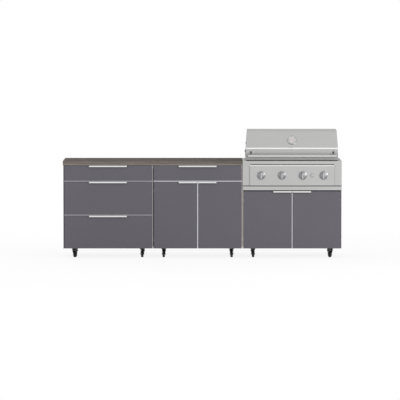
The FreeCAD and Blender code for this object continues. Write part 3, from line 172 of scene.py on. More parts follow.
# %% Sky and softboxes
SKY_LIGHT, SKY_SEEN = 0.72, 1.0
world = bpy.data.worlds.new("white_sky")
bpy.context.scene.world = world
world.use_nodes = True
sky = world.node_tree
sky.nodes.clear()
lit, seen = (sky.nodes.new("ShaderNodeBackground") for _ in range(2))
for background, strength in ((lit, SKY_LIGHT), (seen, SKY_SEEN)):
    background.inputs["Color"].default_value = (1, 1, 1, 1)
    background.inputs["Strength"].default_value = strength
pick = sky.nodes.new("ShaderNodeMixShader")
sky_out = sky.nodes.new("ShaderNodeOutputWorld")
sky.links.new(seen_rays(sky), pick.inputs["Fac"])
sky.links.new(lit.outputs[0], pick.inputs[1])
sky.links.new(seen.outputs[0], pick.inputs[2])
sky.links.new(pick.outputs[0], sky_out.inputs["Surface"])


def softbox(name, place, aim, width, height, power):
    """A wide soft lamp that faces a point."""
    place = Vector(place)
    turn = (Vector(aim) - place).to_track_quat("-Z", "Y").to_euler()
    bpy.ops.object.light_add(type="AREA", location=place, rotation=turn)
    lamp = bpy.context.object
    lamp.name = name
    lamp.data.shape = "RECTANGLE"
    lamp.data.size = width
    lamp.data.size_y = height
    lamp.data.energy = power
    return lamp


softbox("right_softbox", (5.0, -5.2, 3.0), (0.2, 0, 0.6), width=2.4, height=3.0, power=210)
softbox("left_softbox", (-5.5, -5.0, 3.0), (0, 0, 0.6), width=2.0, height=2.4, power=70)
softbox("back_softbox", (-2.5, 5.0, 4.0), (0, 0.3, 0.6), width=4.0, height=2.0, power=90)

# %% [markdown]
# ## Surface effects, built once
#
# Several finishes share the same small effects, so each effect is a node group: the fine lines of a
# brushed sheet, the orange-peel skin of powder coat, the streaks of a wood-look board, and a little
# dust and handling that no outdoor surface is without. A group only puts out colours, masks and
# heights. The shader itself stays in each material.

# %% Node group helpers
def group(name, inputs, outputs):
    """A shader node group with named inputs (name, kind, default) and outputs (name, kind)."""
    tree = bpy.data.node_groups.new(name, "ShaderNodeTree")
    for label, kind, default in inputs:
        socket = tree.interface.new_socket(label, in_out="INPUT", socket_type=kind)
        socket.default_value = default
    for label, kind in outputs:
        tree.interface.new_socket(label, in_out="OUTPUT", socket_type=kind)
    source = tree.nodes.new("NodeGroupInput")
    sink = tree.nodes.new("NodeGroupOutput")
    return tree, source, sink


def stretched(tree, scale=(1, 1, 1)):
    """Object coordinates stretched by a scale on each axis; scale is three numbers or a socket."""
    place = tree.nodes.new("ShaderNodeMapping")
    tree.links.new(tree.nodes.new("ShaderNodeTexCoord").outputs["Object"], place.inputs["Vector"])
    if isinstance(scale, tuple):
        place.inputs["Scale"].default_value = scale
    else:
        tree.links.new(scale, place.inputs["Scale"])
    return place.outputs[0]


def height_above(tree):
    """Each point's height above the floor."""
    parts = tree.nodes.new("ShaderNodeSeparateXYZ")
    tree.links.new(stretched(tree), parts.inputs[0])
    return parts.outputs["Z"]


def speckle(tree, vector, scale, detail=3.0, roughness=0.5):
    """A noise value around one half."""
    noise = tree.nodes.new("ShaderNodeTexNoise")
    noise.inputs["Scale"].default_value = scale
    noise.inputs["Detail"].default_value = detail
    noise.inputs["Roughness"].default_value = roughness
    tree.links.new(vector, noise.inputs["Vector"])
    return noise.outputs["Fac"]


def blended(tree, share, first, second):
    """A colour between two, led by a value; each colour is a socket or three numbers."""
    colour = tree.nodes.new("ShaderNodeMix")
    colour.data_type = "RGBA"
    tree.links.new(share, colour.inputs["Factor"])
    for place, tone in ((6, first), (7, second)):
        if isinstance(tone, tuple):
            colour.inputs[place].default_value = (*tone, 1)
        else:
            tree.links.new(tone, colour.inputs[place])
    return colour.outputs[2]


# %% Brushed sheet, powder coat, streaked board and dust
def brushed_group():
    """Fine parallel lines; Stretch is the scale on each axis, small along the brushing."""
    tree, source, sink = group(
        "brushed_lines", [("Stretch", "NodeSocketVector", (3, 700, 700))],
        [("Tone", "NodeSocketFloat"), ("Height", "NodeSocketFloat")])
    lines = speckle(tree, stretched(tree, source.outputs["Stretch"]), 1.0, 4.0, 0.65)
    smudge = speckle(tree, stretched(tree, (2.2, 2.2, 2.2)), 1.6, 2.0)
    tone = arithmetic(tree, "MULTIPLY_ADD", arithmetic(tree, "SUBTRACT", lines, 0.5), 0.8, 0.5)
    cloudy = arithmetic(tree, "MULTIPLY_ADD", arithmetic(tree, "SUBTRACT", smudge, 0.5), 0.3, tone)
    tree.links.new(cloudy, sink.inputs["Tone"])
    tree.links.new(lines, sink.inputs["Height"])
    return tree


def powder_group():
    """The faint orange-peel skin of powder coat, with a slow drift in tone."""
    tree, source, sink = group(
        "powder_skin", [("Size", "NodeSocketFloat", 420.0)],
        [("Tone", "NodeSocketFloat"), ("Height", "NodeSocketFloat")])
    here = stretched(tree)
    skin = tree.nodes.new("ShaderNodeTexNoise")
    skin.inputs["Detail"].default_value = 2.0
    tree.links.new(here, skin.inputs["Vector"])
    tree.links.new(source.outputs["Size"], skin.inputs["Scale"])
    drift = speckle(tree, here, 1.3, 2.0)
    tree.links.new(drift, sink.inputs["Tone"])
    tree.links.new(skin.outputs["Fac"], sink.inputs["Height"])
    return tree


def board_group():
    """A weathered wood-look print: long streaks, fine fibres and a few dark lines along X."""
    tree, source, sink = group(
        "wood_look", [("Dark", "NodeSocketColor", (0.055, 0.046, 0.042, 1)),
                      ("Light", "NodeSocketColor", (0.20, 0.172, 0.158, 1))],
        [("Color", "NodeSocketColor"), ("Height", "NodeSocketFloat")])
    broad = speckle(tree, stretched(tree, (1.1, 26, 60)), 1.0, 5.0, 0.6)
    fibre = speckle(tree, stretched(tree, (7, 420, 600)), 1.0, 3.0, 0.6)
    lines = speckle(tree, stretched(tree, (2.2, 120, 210)), 1.0, 2.0, 0.5)
    grain = arithmetic(tree, "MULTIPLY_ADD", broad, 0.6, arithmetic(tree, "MULTIPLY", fibre, 0.4))
    cuts = remap(tree, lines, 0.62, 0.7, 0.0, 0.55)
    level = arithmetic(tree, "SUBTRACT", remap(tree, grain, 0.36, 0.66, 0.0, 1.0), cuts, clamp=True)
    colour = blended(tree, level, source.outputs["Dark"], source.outputs["Light"])
    tree.links.new(colour, sink.inputs["Color"])
    tree.links.new(level, sink.inputs["Height"])
    return tree


def dust_group():
    """Dust that lies on upward faces and a few pale specks; Amount is how much of it there is."""
    tree, source, sink = group(
        "light_dust", [("Color", "NodeSocketColor", (0.5, 0.5, 0.5, 1)),
                       ("Dust", "NodeSocketColor", (0.62, 0.6, 0.57, 1)),
                       ("Amount", "NodeSocketFloat", 0.06)],
        [("Color", "NodeSocketColor")])
    facing = tree.nodes.new("ShaderNodeNewGeometry")
    parts = tree.nodes.new("ShaderNodeSeparateXYZ")
    tree.links.new(facing.outputs["Normal"], parts.inputs[0])
    upward = remap(tree, parts.outputs["Z"], 0.4, 1.0, 0.15, 1.0)
    patchy = remap(tree, speckle(tree, stretched(tree), 9.0, 5.0, 0.7), 0.38, 0.72, 0.0, 1.0)
    cover = arithmetic(tree, "MULTIPLY", arithmetic(tree, "MULTIPLY", upward, patchy),
                       source.outputs["Amount"])
    colour = blended(tree, cover, source.outputs["Color"], source.outputs["Dust"])
    tree.links.new(colour, sink.inputs["Color"])
    return tree


BRUSHED, POWDER, BOARD, DUST = brushed_group(), powder_group(), board_group(), dust_group()
print("effects", [tree.name for tree in (BRUSHED, POWDER, BOARD, DUST)])

# %% [markdown]
# ## Finishes
#
# A finish is a Principled shader whose colour, roughness and bump come from those groups. Metals
# are fully metallic with a medium roughness: brushed stainless steel shows the room only as broad
# soft bands. Powder coat is a slightly rough plastic skin, and rubber a rougher one.

# %% Finish helpers
def new_finish(name, roughness, metallic=0.0, specular=0.5):
    """A material with its shader, and the tree to build in."""
    made = bpy.data.materials.new(name)
    made.use_nodes = True
    shader = made.node_tree.nodes["Principled BSDF"]
    shader.inputs["Roughness"].default_value = roughness
    shader.inputs["Metallic"].default_value = metallic
    shader.inputs["Specular IOR Level"].default_value = specular
    return made, made.node_tree, shader


def use_group(tree, kind, **values):
    """An effect group placed in a material, with its own values."""
    placed = tree.nodes.new("ShaderNodeGroup")
    placed.node_tree = kind
    for label, value in values.items():
        placed.inputs[label].default_value = value
    return placed


def dusted(tree, shader, colour, amount):
    """The colour goes to the shader under a little dust."""
    dust = use_group(tree, DUST, Amount=amount)
    tree.links.new(colour, dust.inputs["Color"])
    tree.links.new(dust.outputs["Color"], shader.inputs["Base Color"])


def bumped(tree, shader, height, strength, distance):
    """A small relief from a height."""
    bump = tree.nodes.new("ShaderNodeBump")
    bump.inputs["Strength"].default_value = strength
    bump.inputs["Distance"].default_value = distance
    tree.links.new(height, bump.inputs["Height"])
    tree.links.new(bump.outputs["Normal"], shader.inputs["Normal"])


def metal(name, dark, light, roughness, stretch, relief=0.12, tint=None):
    """Brushed or plain metal: the lines vary the tone and roughness, and tint may change the colour."""
    made, tree, shader = new_finish(name, roughness, 1.0)
    shader.inputs["Specular Tint"].default_value = (0.6, 0.6, 0.6, 1)
    lines = use_group(tree, BRUSHED, Stretch=stretch)
    colour = blended(tree, lines.outputs["Tone"], dark, light)
    if tint:
        colour = tint(tree, lines.outputs["Tone"], colour)
    dusted(tree, shader, colour, amount=0.03)
    tree.links.new(remap(tree, lines.outputs["Tone"], 0.2, 0.8, roughness - 0.05, roughness + 0.07),
                   shader.inputs["Roughness"])
    bumped(tree, shader, lines.outputs["Height"], relief, distance=0.0002)
    return made


def coated(name, dark, light, roughness, size, relief=0.1, dust=0.05, specular=0.4):
    """Powder coat, plastic or rubber: an orange-peel skin over an even colour."""
    made, tree, shader = new_finish(name, roughness, 0.0, specular)
    skin = use_group(tree, POWDER, Size=size)
    dusted(tree, shader, blended(tree, skin.outputs["Tone"], dark, light), dust)
    tree.links.new(remap(tree, skin.outputs["Height"], 0.3, 0.7, roughness - 0.04, roughness + 0.05),
                   shader.inputs["Roughness"])
    bumped(tree, shader, skin.outputs["Height"], relief, distance=0.0003)
    return made


# %% Paints, plastics and steels
def grey(tone):
    """A neutral colour."""
    return (tone, tone, tone)


ALONG_X, ALONG_Y, ALONG_Z = (3, 700, 700), (900, 4, 900), (900, 900, 4)
FINE_ALONG_X, UNBRUSHED = (3, 500, 500), (40, 40, 40)
finish = {
    "front_paint": coated("front_powder_coat", (0.104, 0.098, 0.116), (0.118, 0.111, 0.132),
                          0.5, 900, 0.08, 0.04, 0.3),
    "cabinet_paint": coated("cabinet_powder_coat", (0.085, 0.081, 0.097), (0.099, 0.094, 0.112),
                            0.52, 900, 0.1, 0.05, 0.3),
    "frame_aluminium": metal("frame_aluminium", (0.355, 0.35, 0.375), (0.43, 0.425, 0.45), 0.42, ALONG_Z),
    "zinc_steel": metal("zinc_plate", (0.50, 0.51, 0.53), (0.68, 0.69, 0.71), 0.38, (60, 60, 60), 0.05),
    "pull_aluminium": metal("pull_aluminium", (0.74, 0.74, 0.75), (0.86, 0.86, 0.87), 0.3, (4, 900, 900)),
    "box_steel": metal("drawer_steel", (0.52, 0.53, 0.54), (0.62, 0.63, 0.64), 0.4, ALONG_Y),
    "caster_black": coated("caster_black", (0.009, 0.009, 0.010), (0.015, 0.015, 0.016),
                           0.42, 700, 0.12, 0.04, 0.2),
    "wheel_black": coated("wheel_polyurethane", (0.008, 0.008, 0.009), grey(0.015),
                          0.55, 500, 0.15, 0.04, 0.2),
    "grill_steel": metal("grill_steel", (0.47, 0.47, 0.466), (0.55, 0.55, 0.546), 0.34, ALONG_X),
    "handle_steel": metal("handle_steel", grey(0.53), grey(0.62), 0.25, FINE_ALONG_X, 0.05),
    "knob_steel": metal("knob_metal_and_painted_shade", (0.27, 0.27, 0.28), (0.36, 0.36, 0.37), 0.4, UNBRUSHED, 0.03),
    "button_steel": metal("button_metal", (0.48, 0.48, 0.49), (0.60, 0.60, 0.61), 0.25, UNBRUSHED, 0.03),
    "gauge_steel": metal("gauge_bezel", grey(0.34), grey(0.44), 0.27, UNBRUSHED, 0.03),
    "burner_steel": metal("burner_steel", (0.30, 0.26, 0.21), (0.50, 0.47, 0.43), 0.4, (5, 60, 60)),
    "brass_fittings": metal("plain_brass", (0.52, 0.37, 0.14), (0.68, 0.50, 0.22), 0.32,
                            (50, 50, 50), 0.05),
    "cast_grate": coated("cast_iron_enamel", grey(0.012), grey(0.03), 0.5, 260, 0.5, 0.08),
}
# Near-white metal for painted highlights along rolled edges.
painted_highlight_trim = metal("painted_highlight_trim", grey(0.86), grey(0.96), 0.18, FINE_ALONG_X, 0.04)
# The next four are copies of the frame aluminium, for painted reflections on the frame strips.
aluminium_painted_pale_sheen = metal("aluminium_painted_pale_sheen", (0.58, 0.58, 0.62), (0.68, 0.68, 0.73), 0.4, ALONG_Z)
aluminium_painted_soft_sheen = metal("aluminium_painted_soft_sheen", (0.50, 0.50, 0.53), (0.58, 0.58, 0.62), 0.4, ALONG_Z)
aluminium_painted_tan_sheen = metal("aluminium_painted_tan_sheen", (0.54, 0.505, 0.485), (0.62, 0.58, 0.555), 0.42, ALONG_Z)
aluminium_painted_warm_sheen = metal("aluminium_painted_warm_sheen", (0.43, 0.41, 0.405), (0.53, 0.51, 0.50), 0.42, ALONG_Z)
dial_steel = metal("dial_steel", grey(0.52), grey(0.62), 0.25, UNBRUSHED, 0.03)
# Dark metal for the handle's arms: partly their own dark nickel, partly painted shade.
dark_nickel_and_painted_shade = metal("dark_nickel_and_painted_shade", grey(0.16), grey(0.24), 0.35, (60, 60, 60), 0.03)
grip_metal = metal("grip_metal", (0.54, 0.54, 0.55), (0.66, 0.66, 0.67), 0.3, (40, 40, 4), 0.03)
# Near-black fill for printed marks and pointers, and also painted shade in gaps, on a rail and in screw recesses.
dark_print_and_painted_shade = coated("dark_print_and_painted_shade", (0.01, 0.01, 0.011), (0.018, 0.018, 0.02), 0.5, 600, 0.05, 0.0)
# Grey rubber for the bumpers, and painted shade for the lines around the control panel.
grey_rubber_and_painted_shade = coated("grey_rubber_and_painted_shade", grey(0.12), grey(0.15), 0.6, 600, 0.05, 0.0, 0.2)
print_grey = coated("printed_marks", grey(0.09), grey(0.12), 0.6, 400, 0.02, 0.0)
print("materials", len(bpy.data.materials))

# %% [markdown]
# ## The shaded hood and the worktop board
#
# The hood is darker along its lower edge, below its lip, and that darkening is painted shade. The
# board's edge band is pale along its worn lower arris. Either could be a strip with a finish of its
# own, but a strip has a hard end. Here the height of each point blends two colours, so the change is
# gradual.

# %% Hood steel
TINT_FULL, TINT_GONE = 0.935, 0.992


def heat_tint(tree, tone, clean):
    """Painted shade: the sheet is darker from below the lip towards the hood's lower edge."""
    tinted = blended(tree, tone, (0.33, 0.328, 0.322), (0.41, 0.407, 0.40))
    return blended(tree, remap(tree, height_above(tree), TINT_FULL, TINT_GONE, 1.0, 0.0), clean, tinted)


finish["hood_steel"] = metal("hood_steel", (0.47, 0.47, 0.466), (0.55, 0.55, 0.546), 0.32, ALONG_X,
                             tint=heat_tint)
print("hood tinted below", TINT_GONE, "m")

# %% Worktop board
WORN_FROM, WORN_TO = 0.8575, 0.8625


def board_finish(name, dark, light, specular, worn=0.0):
    """Worktop board: grey-brown streaks, satin, open grain, and a paler worn arris at its foot."""
    made, tree, shader = new_finish(name, 0.7, 0.0, specular)
    streaks = use_group(tree, BOARD, Dark=(*dark, 1), Light=(*light, 1))
    wear = remap(tree, height_above(tree), WORN_FROM, WORN_TO, worn, 0.0)
    colour = blended(tree, wear, streaks.outputs["Color"], (0.40, 0.36, 0.33))
    dusted(tree, shader, colour, amount=0.02)
    gloss = remap(tree, streaks.outputs["Height"], 0.0, 1.0, 0.78, 0.66)
    tree.links.new(gloss, shader.inputs["Roughness"])
    bumped(tree, shader, streaks.outputs["Height"], strength=0.15, distance=0.0004)
    return made


finish["worktop"] = board_finish("wood_look_board", (0.052, 0.043, 0.0385), (0.166, 0.136, 0.121), 0.02)
# A lighter copy of the board's colours for its side faces, painted light; its foot also has a worn pale arris.
lit_edge_band = board_finish("wood_look_edge_band", (0.079, 0.066, 0.0595), (0.216, 0.184, 0.167), 0.12, 0.5)
print(len(finish), "finishes")

# %% [markdown]
# ## A bench of helpers
#
# Every piece below starts as plain stock and is shaped with Blender's own modelling operators. The
# operators act on what is selected, so each helper first puts everything down, then takes one
# piece, and chooses faces by where they are or which way they look.

# %% Putting down, taking, settling and mounting
def put_down():
    """Nothing is selected and nothing is in edit mode."""
    if bpy.context.mode != "OBJECT":
        bpy.ops.object.mode_set(mode="OBJECT")
    bpy.ops.object.select_all(action="DESELECT")


def take(piece):
    """Only this piece is selected."""
    put_down()
    piece.select_set(True)
    bpy.context.view_layer.objects.active = piece


def settle(name):
    """The new primitive's place goes into its mesh, and it gets its name."""
    bpy.ops.object.transform_apply(location=True, rotation=True, scale=True)
    piece = bpy.context.object
    piece.name = name
    piece.data.name = name
    return piece


def mount(piece, body):
    """The piece moves with a body."""
    put_down()
    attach(piece, body)
    return piece


# %% Bars, rods and turned pieces
def bar_stock(name, low, high):
    """A bar between two corners."""
    put_down()
    low, high = Vector(low), Vector(high)
    bpy.ops.mesh.primitive_cube_add(size=1, location=(low + high) / 2, scale=high - low)
    return settle(name)


def round_stock(name, start, direction, radius, length, sides=48):
    """A round bar from a point along a direction."""
    put_down()
    direction = Vector(direction).normalized()
    turn = direction.to_track_quat("Z", "Y").to_euler()
    middle = Vector(start) + direction * length / 2
    bpy.ops.mesh.primitive_cylinder_add(vertices=sides, radius=radius, depth=length,
                                        location=middle, rotation=turn)
    return settle(name)


def spun(name, origin, direction, section, steps=48):
    """A section of (radius, along) points, spun about an axis into a closed turned piece."""
    put_down()
    origin, direction = Vector(origin), Vector(direction).normalized()
    side = direction.orthogonal().normalized()
    bpy.ops.mesh.primitive_circle_add(vertices=len(section), radius=0.01, location=(0, 0, 0))
    piece = settle(name)
    for corner, (radius, along) in zip(piece.data.vertices, section):
        corner.co = origin + side * radius + direction * along
    bpy.ops.object.mode_set(mode="EDIT")
    bpy.ops.mesh.select_all(action="SELECT")
    bpy.ops.mesh.spin(steps=steps, angle=2 * math.pi, center=origin, axis=direction)
    bpy.ops.mesh.select_all(action="SELECT")
    bpy.ops.mesh.remove_doubles(threshold=0.000005)
    bpy.ops.mesh.normals_make_consistent(inside=False)
    bpy.ops.object.mode_set(mode="OBJECT")
    return piece


# %% Joining, copying and choosing
def joined(pieces, name):
    """Several pieces become one mesh."""
    put_down()
    for piece in pieces:
        piece.select_set(True)
    bpy.context.view_layer.objects.active = pieces[0]
    if len(pieces) > 1:
        bpy.ops.object.join()
    pieces[0].name = name
    pieces[0].data.name = name
    return pieces[0]


def copied(piece, offset, name):
    """A copy with its own mesh, set off by an offset."""
    take(piece)
    bpy.ops.object.duplicate(linked=False)
    bpy.ops.transform.translate(value=Vector(offset))
    return settle(name)


def put_away(*models):
    """The models that copies were made of are taken out again."""
    for model in models:
        bpy.data.objects.remove(model)


def choose(piece, test):
    """The piece in edit mode, with the faces chosen that pass test(centre, normal)."""
    take(piece)
    bpy.ops.object.mode_set(mode="EDIT")
    bpy.ops.mesh.select_mode(type="FACE")
    bpy.ops.mesh.select_all(action="DESELECT")
    bpy.ops.object.mode_set(mode="OBJECT")
    for face in piece.data.polygons:
        face.select = bool(test(face.center, face.normal))
    bpy.ops.object.mode_set(mode="EDIT")


# %% [markdown]
# ## Shading beside eased edges
#
# An eased edge bends gently into the flat face beside it. Smooth shading then leans the light of
# the flat face too, which shows on a wide sheet and near the end of a long rod. Extra edges beside
# each bevel would hold the lean to a thin strip, at the cost of many faces. Instead the wide faces
# are shaded flat, and the edges between a long face and far smaller ones are marked sharp.

# %% Easing edges, shading and painting
def ease(piece, width, segments=2, angle=30):
    """A bevel on every edge sharper than an angle."""
    take(piece)
    soft = piece.modifiers.new("ease", "BEVEL")
    soft.width = width
    soft.segments = segments
    soft.limit_method = "ANGLE"
    soft.angle_limit = math.radians(angle)
    bpy.ops.object.modifier_apply(modifier=soft.name)
    return piece


GENTLE_LEAST, GENTLE_MOST = 0.026, 0.87  # radians
WIDE_TIMES, LONG_TIMES = 6, 40


def choose_wide(piece):
    """Chooses the flat faces that are much wider than any face they bend gently into."""
    shape = bmesh.new()
    shape.from_mesh(piece.data)
    for face in shape.faces:
        others = [other for edge in face.edges for other in edge.link_faces if other is not face]
        gentle = [other for other in others
                  if GENTLE_LEAST < face.normal.angle(other.normal, 0) < GENTLE_MOST]
        face.select_set(all(face.calc_area() > WIDE_TIMES * other.calc_area() for other in gentle))
    shape.to_mesh(piece.data)
    shape.free()


def choose_ends(piece):
    """Chooses the edges where a long smooth face meets a far smaller one, as at a rod's eased end."""
    shape = bmesh.new()
    shape.from_mesh(piece.data)
    for face in shape.faces:
        face.select_set(False)
    for edge in shape.edges:
        if len(edge.link_faces) == 2:
            small, large = sorted(edge.link_faces, key=lambda face: face.calc_area())
            edge.select_set(large.calc_area() > LONG_TIMES * small.calc_area())
    shape.select_mode = {"EDGE"}
    shape.select_flush_mode()
    shape.to_mesh(piece.data)
    shape.free()


def dress(piece, material, smooth=35):
    """One finish all over, smooth shading below an angle, and wide faces kept true beside bevels."""
    take(piece)
    piece.data.materials.clear()
    piece.data.materials.append(material)
    bpy.ops.object.shade_smooth_by_angle(angle=math.radians(smooth))
    choose_wide(piece)
    bpy.ops.object.mode_set(mode="EDIT")
    bpy.ops.mesh.faces_shade_flat()
    bpy.ops.mesh.select_mode(type="EDGE")
    bpy.ops.object.mode_set(mode="OBJECT")
    choose_ends(piece)
    bpy.ops.object.mode_set(mode="EDIT")
    bpy.ops.mesh.mark_sharp()
    bpy.ops.mesh.select_mode(type="FACE")
    bpy.ops.object.mode_set(mode="OBJECT")
    return piece


def paint_faces(piece, material, test):
    """A second finish on the faces that pass test(centre, normal)."""
    piece.data.materials.append(material)
    place = len(piece.data.materials) - 1
    for face in piece.data.polygons:
        if test(face.center, face.normal):
            face.material_index = place
    return piece


# %% [markdown]
# ## Softened sheets and slabs
#
# Real sheet metal and boards have no razor edges: each fold and cut edge catches a thin line of
# light. The solids already have the right outlines, so these pieces start as copies of them. The
# copy's loose triangles are merged, flat areas are dissolved to single faces, and a fine bevel
# softens every sharp edge.

# %% Softened copies of the solids
def softened(name, width, segments=2, keep=None, shape=None):
    """A copy of a node's solid, merged, shaped and softened, that stands for the node."""
    piece = bpy.data.objects.new(name + "_softened", node[name].data.copy())
    bpy.context.scene.collection.objects.link(piece)
    take(piece)
    bpy.ops.object.mode_set(mode="EDIT")
    bpy.ops.mesh.select_mode(type="VERT")
    bpy.ops.mesh.select_all(action="SELECT")
    bpy.ops.mesh.remove_doubles(threshold=0.00001)
    bpy.ops.mesh.customdata_custom_splitnormals_clear()
    bpy.ops.mesh.dissolve_limited(angle_limit=math.radians(1))
    bpy.ops.object.mode_set(mode="OBJECT")
    if keep:
        choose(piece, lambda c, n: not keep(c))
        bpy.ops.mesh.delete(type="FACE")
        bpy.ops.object.mode_set(mode="OBJECT")
    if shape:
        shape(piece)
    ease(piece, width, segments)
    dress(piece, finish[slot_of[name]])
    mount(piece, body_of[name])
    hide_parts(name)
    return piece


PULL_TRIM, PULL_CORNER = 0.0038, 0.0095
CLOSE = 0.0002


def slim_tab(piece):
    """A pull's tab is trimmed along its lower edge, and its two lower corners are rounded."""
    foot = min(corner.co.z for corner in piece.data.vertices)
    choose(piece, lambda c, n: n.z < -0.9 and c.z < foot + CLOSE)
    bpy.ops.transform.translate(value=(0, 0, PULL_TRIM))
    bpy.ops.object.mode_set(mode="OBJECT")
    foot += PULL_TRIM
    ends = [pick(corner.co.x for corner in piece.data.vertices) for pick in (min, max)]
    choose(piece, lambda c, n: False)
    bpy.ops.mesh.select_mode(type="EDGE")
    bpy.ops.object.mode_set(mode="OBJECT")
    for edge in piece.data.edges:
        first, last = (piece.data.vertices[place].co for place in edge.vertices)
        edge.select = (max(first.z, last.z) < foot + CLOSE and abs(first.x - last.x) < CLOSE
                       and min(abs(first.x - end) for end in ends) < CLOSE)
    bpy.ops.object.mode_set(mode="EDIT")
    bpy.ops.mesh.bevel(offset=PULL_CORNER, segments=5)
    bpy.ops.object.mode_set(mode="OBJECT")


DRAWERS = ("left_top", "left_middle", "left_bottom", "centre_top")
DOORS = ("centre_left", "centre_right", "grill_left", "grill_right")
made = [softened("worktop", 0.0012, 3)]
made += [softened("drawer_front_" + name, 0.0006) for name in DRAWERS]
made += [softened("door_" + name, 0.0006) for name in DOORS]
made += [softened("drawer_pull_" + name, 0.0004, shape=slim_tab) for name in DRAWERS]
made += [softened("door_pull_" + name, 0.0004, shape=slim_tab) for name in DOORS]
made += [softened("drawer_box_" + name, 0.0003) for name in DRAWERS]
for name, width in (("side_panels", 0.0005), ("back_panels", 0.0004), ("floor_panels", 0.0005),
                    ("front_frames", 0.0002), ("surround", 0.0004), ("drip_tray", 0.0004),
                    ("firebox", 0.0004), ("lid", 0.0005), ("lid_handle", 0.0008)):
    made.append(softened(name, width))
dressed = {piece.name.removesuffix("_softened"): piece for piece in made}
print("softened", len(made), "pieces,", sum(len(piece.data.polygons) for piece in made), "faces")

# %% [markdown]
# ## Second finishes on single faces
#
# Some of these pieces show two finishes or more: the lid's rolled lip has a painted highlight, the
# worktop's sides a lighter copy of its board that is painted light, the handle dark arms that are
# partly painted shade, and the frames' strips painted reflections, lighter or darker with what they
# mirror, with painted shade on the dark stiles and on the grill's top rail. Cutting such a piece in two
# would open a seam, so single faces get the second finish, chosen by where their middle is.

# %% Second finishes on the lid, worktop and handle
LID_FRONT = -0.2315
LIP_BACK, LIP_FOOT, LIP_CROWN = LID_FRONT - 0.0003, 0.991, 1.0135
ARMS, ARM_FOOT, ARM_REACH = (0.4540, 1.1970), 0.9525, 0.02
# The lip's faces get the near-white metal: a painted highlight along the rolled lip.
paint_faces(dressed["lid"], painted_highlight_trim, lambda c, n: c.y < LIP_BACK and LIP_FOOT < c.z < LIP_CROWN)
# The worktop's side faces take the lighter copy: painted light on the edge.
paint_faces(dressed["worktop"], lit_edge_band, lambda c, n: abs(n.z) < 0.5)
# The handle's arms get the dark metal, whose darkness is partly painted shade at the arms.
paint_faces(dressed["lid_handle"], dark_nickel_and_painted_shade,
            lambda c, n: c.z > ARM_FOOT and min(abs(c.x - x) for x in ARMS) < ARM_REACH)
print("lid, worktop and handle have", [len(dressed[name].data.materials) for name in
                                       ("lid", "worktop", "lid_handle")], "finishes")

# %% Second finishes on the front frames
CENTRE_MULLION, GRILL_MULLION, MULLION_REACH, STILE_REACH = -0.042, 0.8255, 0.02, 0.004
WARM_STILES, JOINT_STILES, SLATE_STILES = (-0.4580, 1.2770), (0.3650, 0.3740), (-1.2720, -0.4490)
GRILL_RAIL, GRILL_RAIL_ENDS = 0.598, (0.378, 1.273)


def near(places, reach):
    """A test for faces whose middle is near one of some places along X."""
    return lambda c, n: min(abs(c.x - x) for x in places) < reach


frames = dressed["front_frames"]
# The strips take lighter, darker and warmer copies of the frame aluminium as painted reflections.
paint_faces(frames, aluminium_painted_pale_sheen, near((CENTRE_MULLION,), MULLION_REACH))
paint_faces(frames, aluminium_painted_soft_sheen, near((GRILL_MULLION,), MULLION_REACH))
paint_faces(frames, aluminium_painted_tan_sheen, near(JOINT_STILES, STILE_REACH))
paint_faces(frames, aluminium_painted_warm_sheen, near(WARM_STILES, STILE_REACH))
# The slate stiles are painted shade in the joints between modules.
paint_faces(frames, finish["cabinet_paint"], near(SLATE_STILES, STILE_REACH))
# The grill's top rail, seen in the gap over its doors, is painted shade.
paint_faces(frames, dark_print_and_painted_shade,
            lambda c, n: GRILL_RAIL_ENDS[0] < c.x < GRILL_RAIL_ENDS[1] and c.z > GRILL_RAIL)
print("front frames have", len(frames.data.materials), "finishes")

# %% [markdown]
# ## Painted shade lines around the grill
#
# Thin lines set off the stainless parts: grey ones around the control panel, black ones over the
# drip tray's band and under the lid. On the real grill they are narrow gaps in shade. A groove could
# be cut for each, but a slim dark bar with eased edges, seated on the sheet, paints the same line of
# shade with a few faces.

# %% Painted shade bars
FASCIA_FACE, SHADE_BAR_PROUD, SHADE_BAR_SUNK = -0.2805, 0.0006, 0.0004


def on_fascia(left, right, foot, top):
    """Two corners of a slim bar that is seated on the fascia's face."""
    return (left, FASCIA_FACE - SHADE_BAR_PROUD, foot), (right, FASCIA_FACE + SHADE_BAR_SUNK, top)


shade_bars = {
    "panel_seal": ("island", *on_fascia(0.4400, 1.2110, 0.8575, 0.8650)),
    "panel_seal_left": ("island", *on_fascia(0.4345, 0.4366, 0.6700, 0.8560)),
    "panel_seal_right": ("island", *on_fascia(1.2144, 1.2165, 0.6700, 0.8560)),
    "tray_seal": ("island", *on_fascia(0.3740, 1.2770, 0.6638, 0.6675)),
    "lid_seal": ("lid", (0.4060, LID_FRONT - 0.0008, 0.8930), (1.2450, LID_FRONT + 0.0012, 0.8985)),
}
# Each bar is painted shade: a dark line where the real grill has a shaded gap.
for name, (body, low, high) in shade_bars.items():
    shade_bar = ease(bar_stock(name, low, high), 0.0002, 1)
    mount(dress(shade_bar, grey_rubber_and_painted_shade if name.startswith("panel") else dark_print_and_painted_shade), body)
print("shade_bars", list(shade_bars))

# %% [markdown]
# ## The control panel's bezels
#
# Each knob sits in a round bezel. On the real grill it is a pressed or cast ring with a soft outer
# edge. A ring is a section spun about the knob's axis, here a wall with a rounded shoulder, and each
# knob gets a copy of it. The panel itself is the softened solid without its many-sided rings.

# %% Panel, knob bezels and button bezel
KNOBS = ("knob_1", "knob_2", "knob_3", "knob_4")
OUTWARDS, INWARDS = Vector((0, -1, 0)), Vector((0, 1, 0))
PANEL_FACE, PANEL_ROLL, HAIR = -0.3005, 0.8475, 0.0001
panel = softened("control_panel", 0.0004, keep=lambda c: c.y > PANEL_FACE - HAIR)
# The panel's rolled top edge gets the same near-white metal: a painted highlight.
paint_faces(panel, painted_highlight_trim, lambda c, n: c.z > PANEL_ROLL)


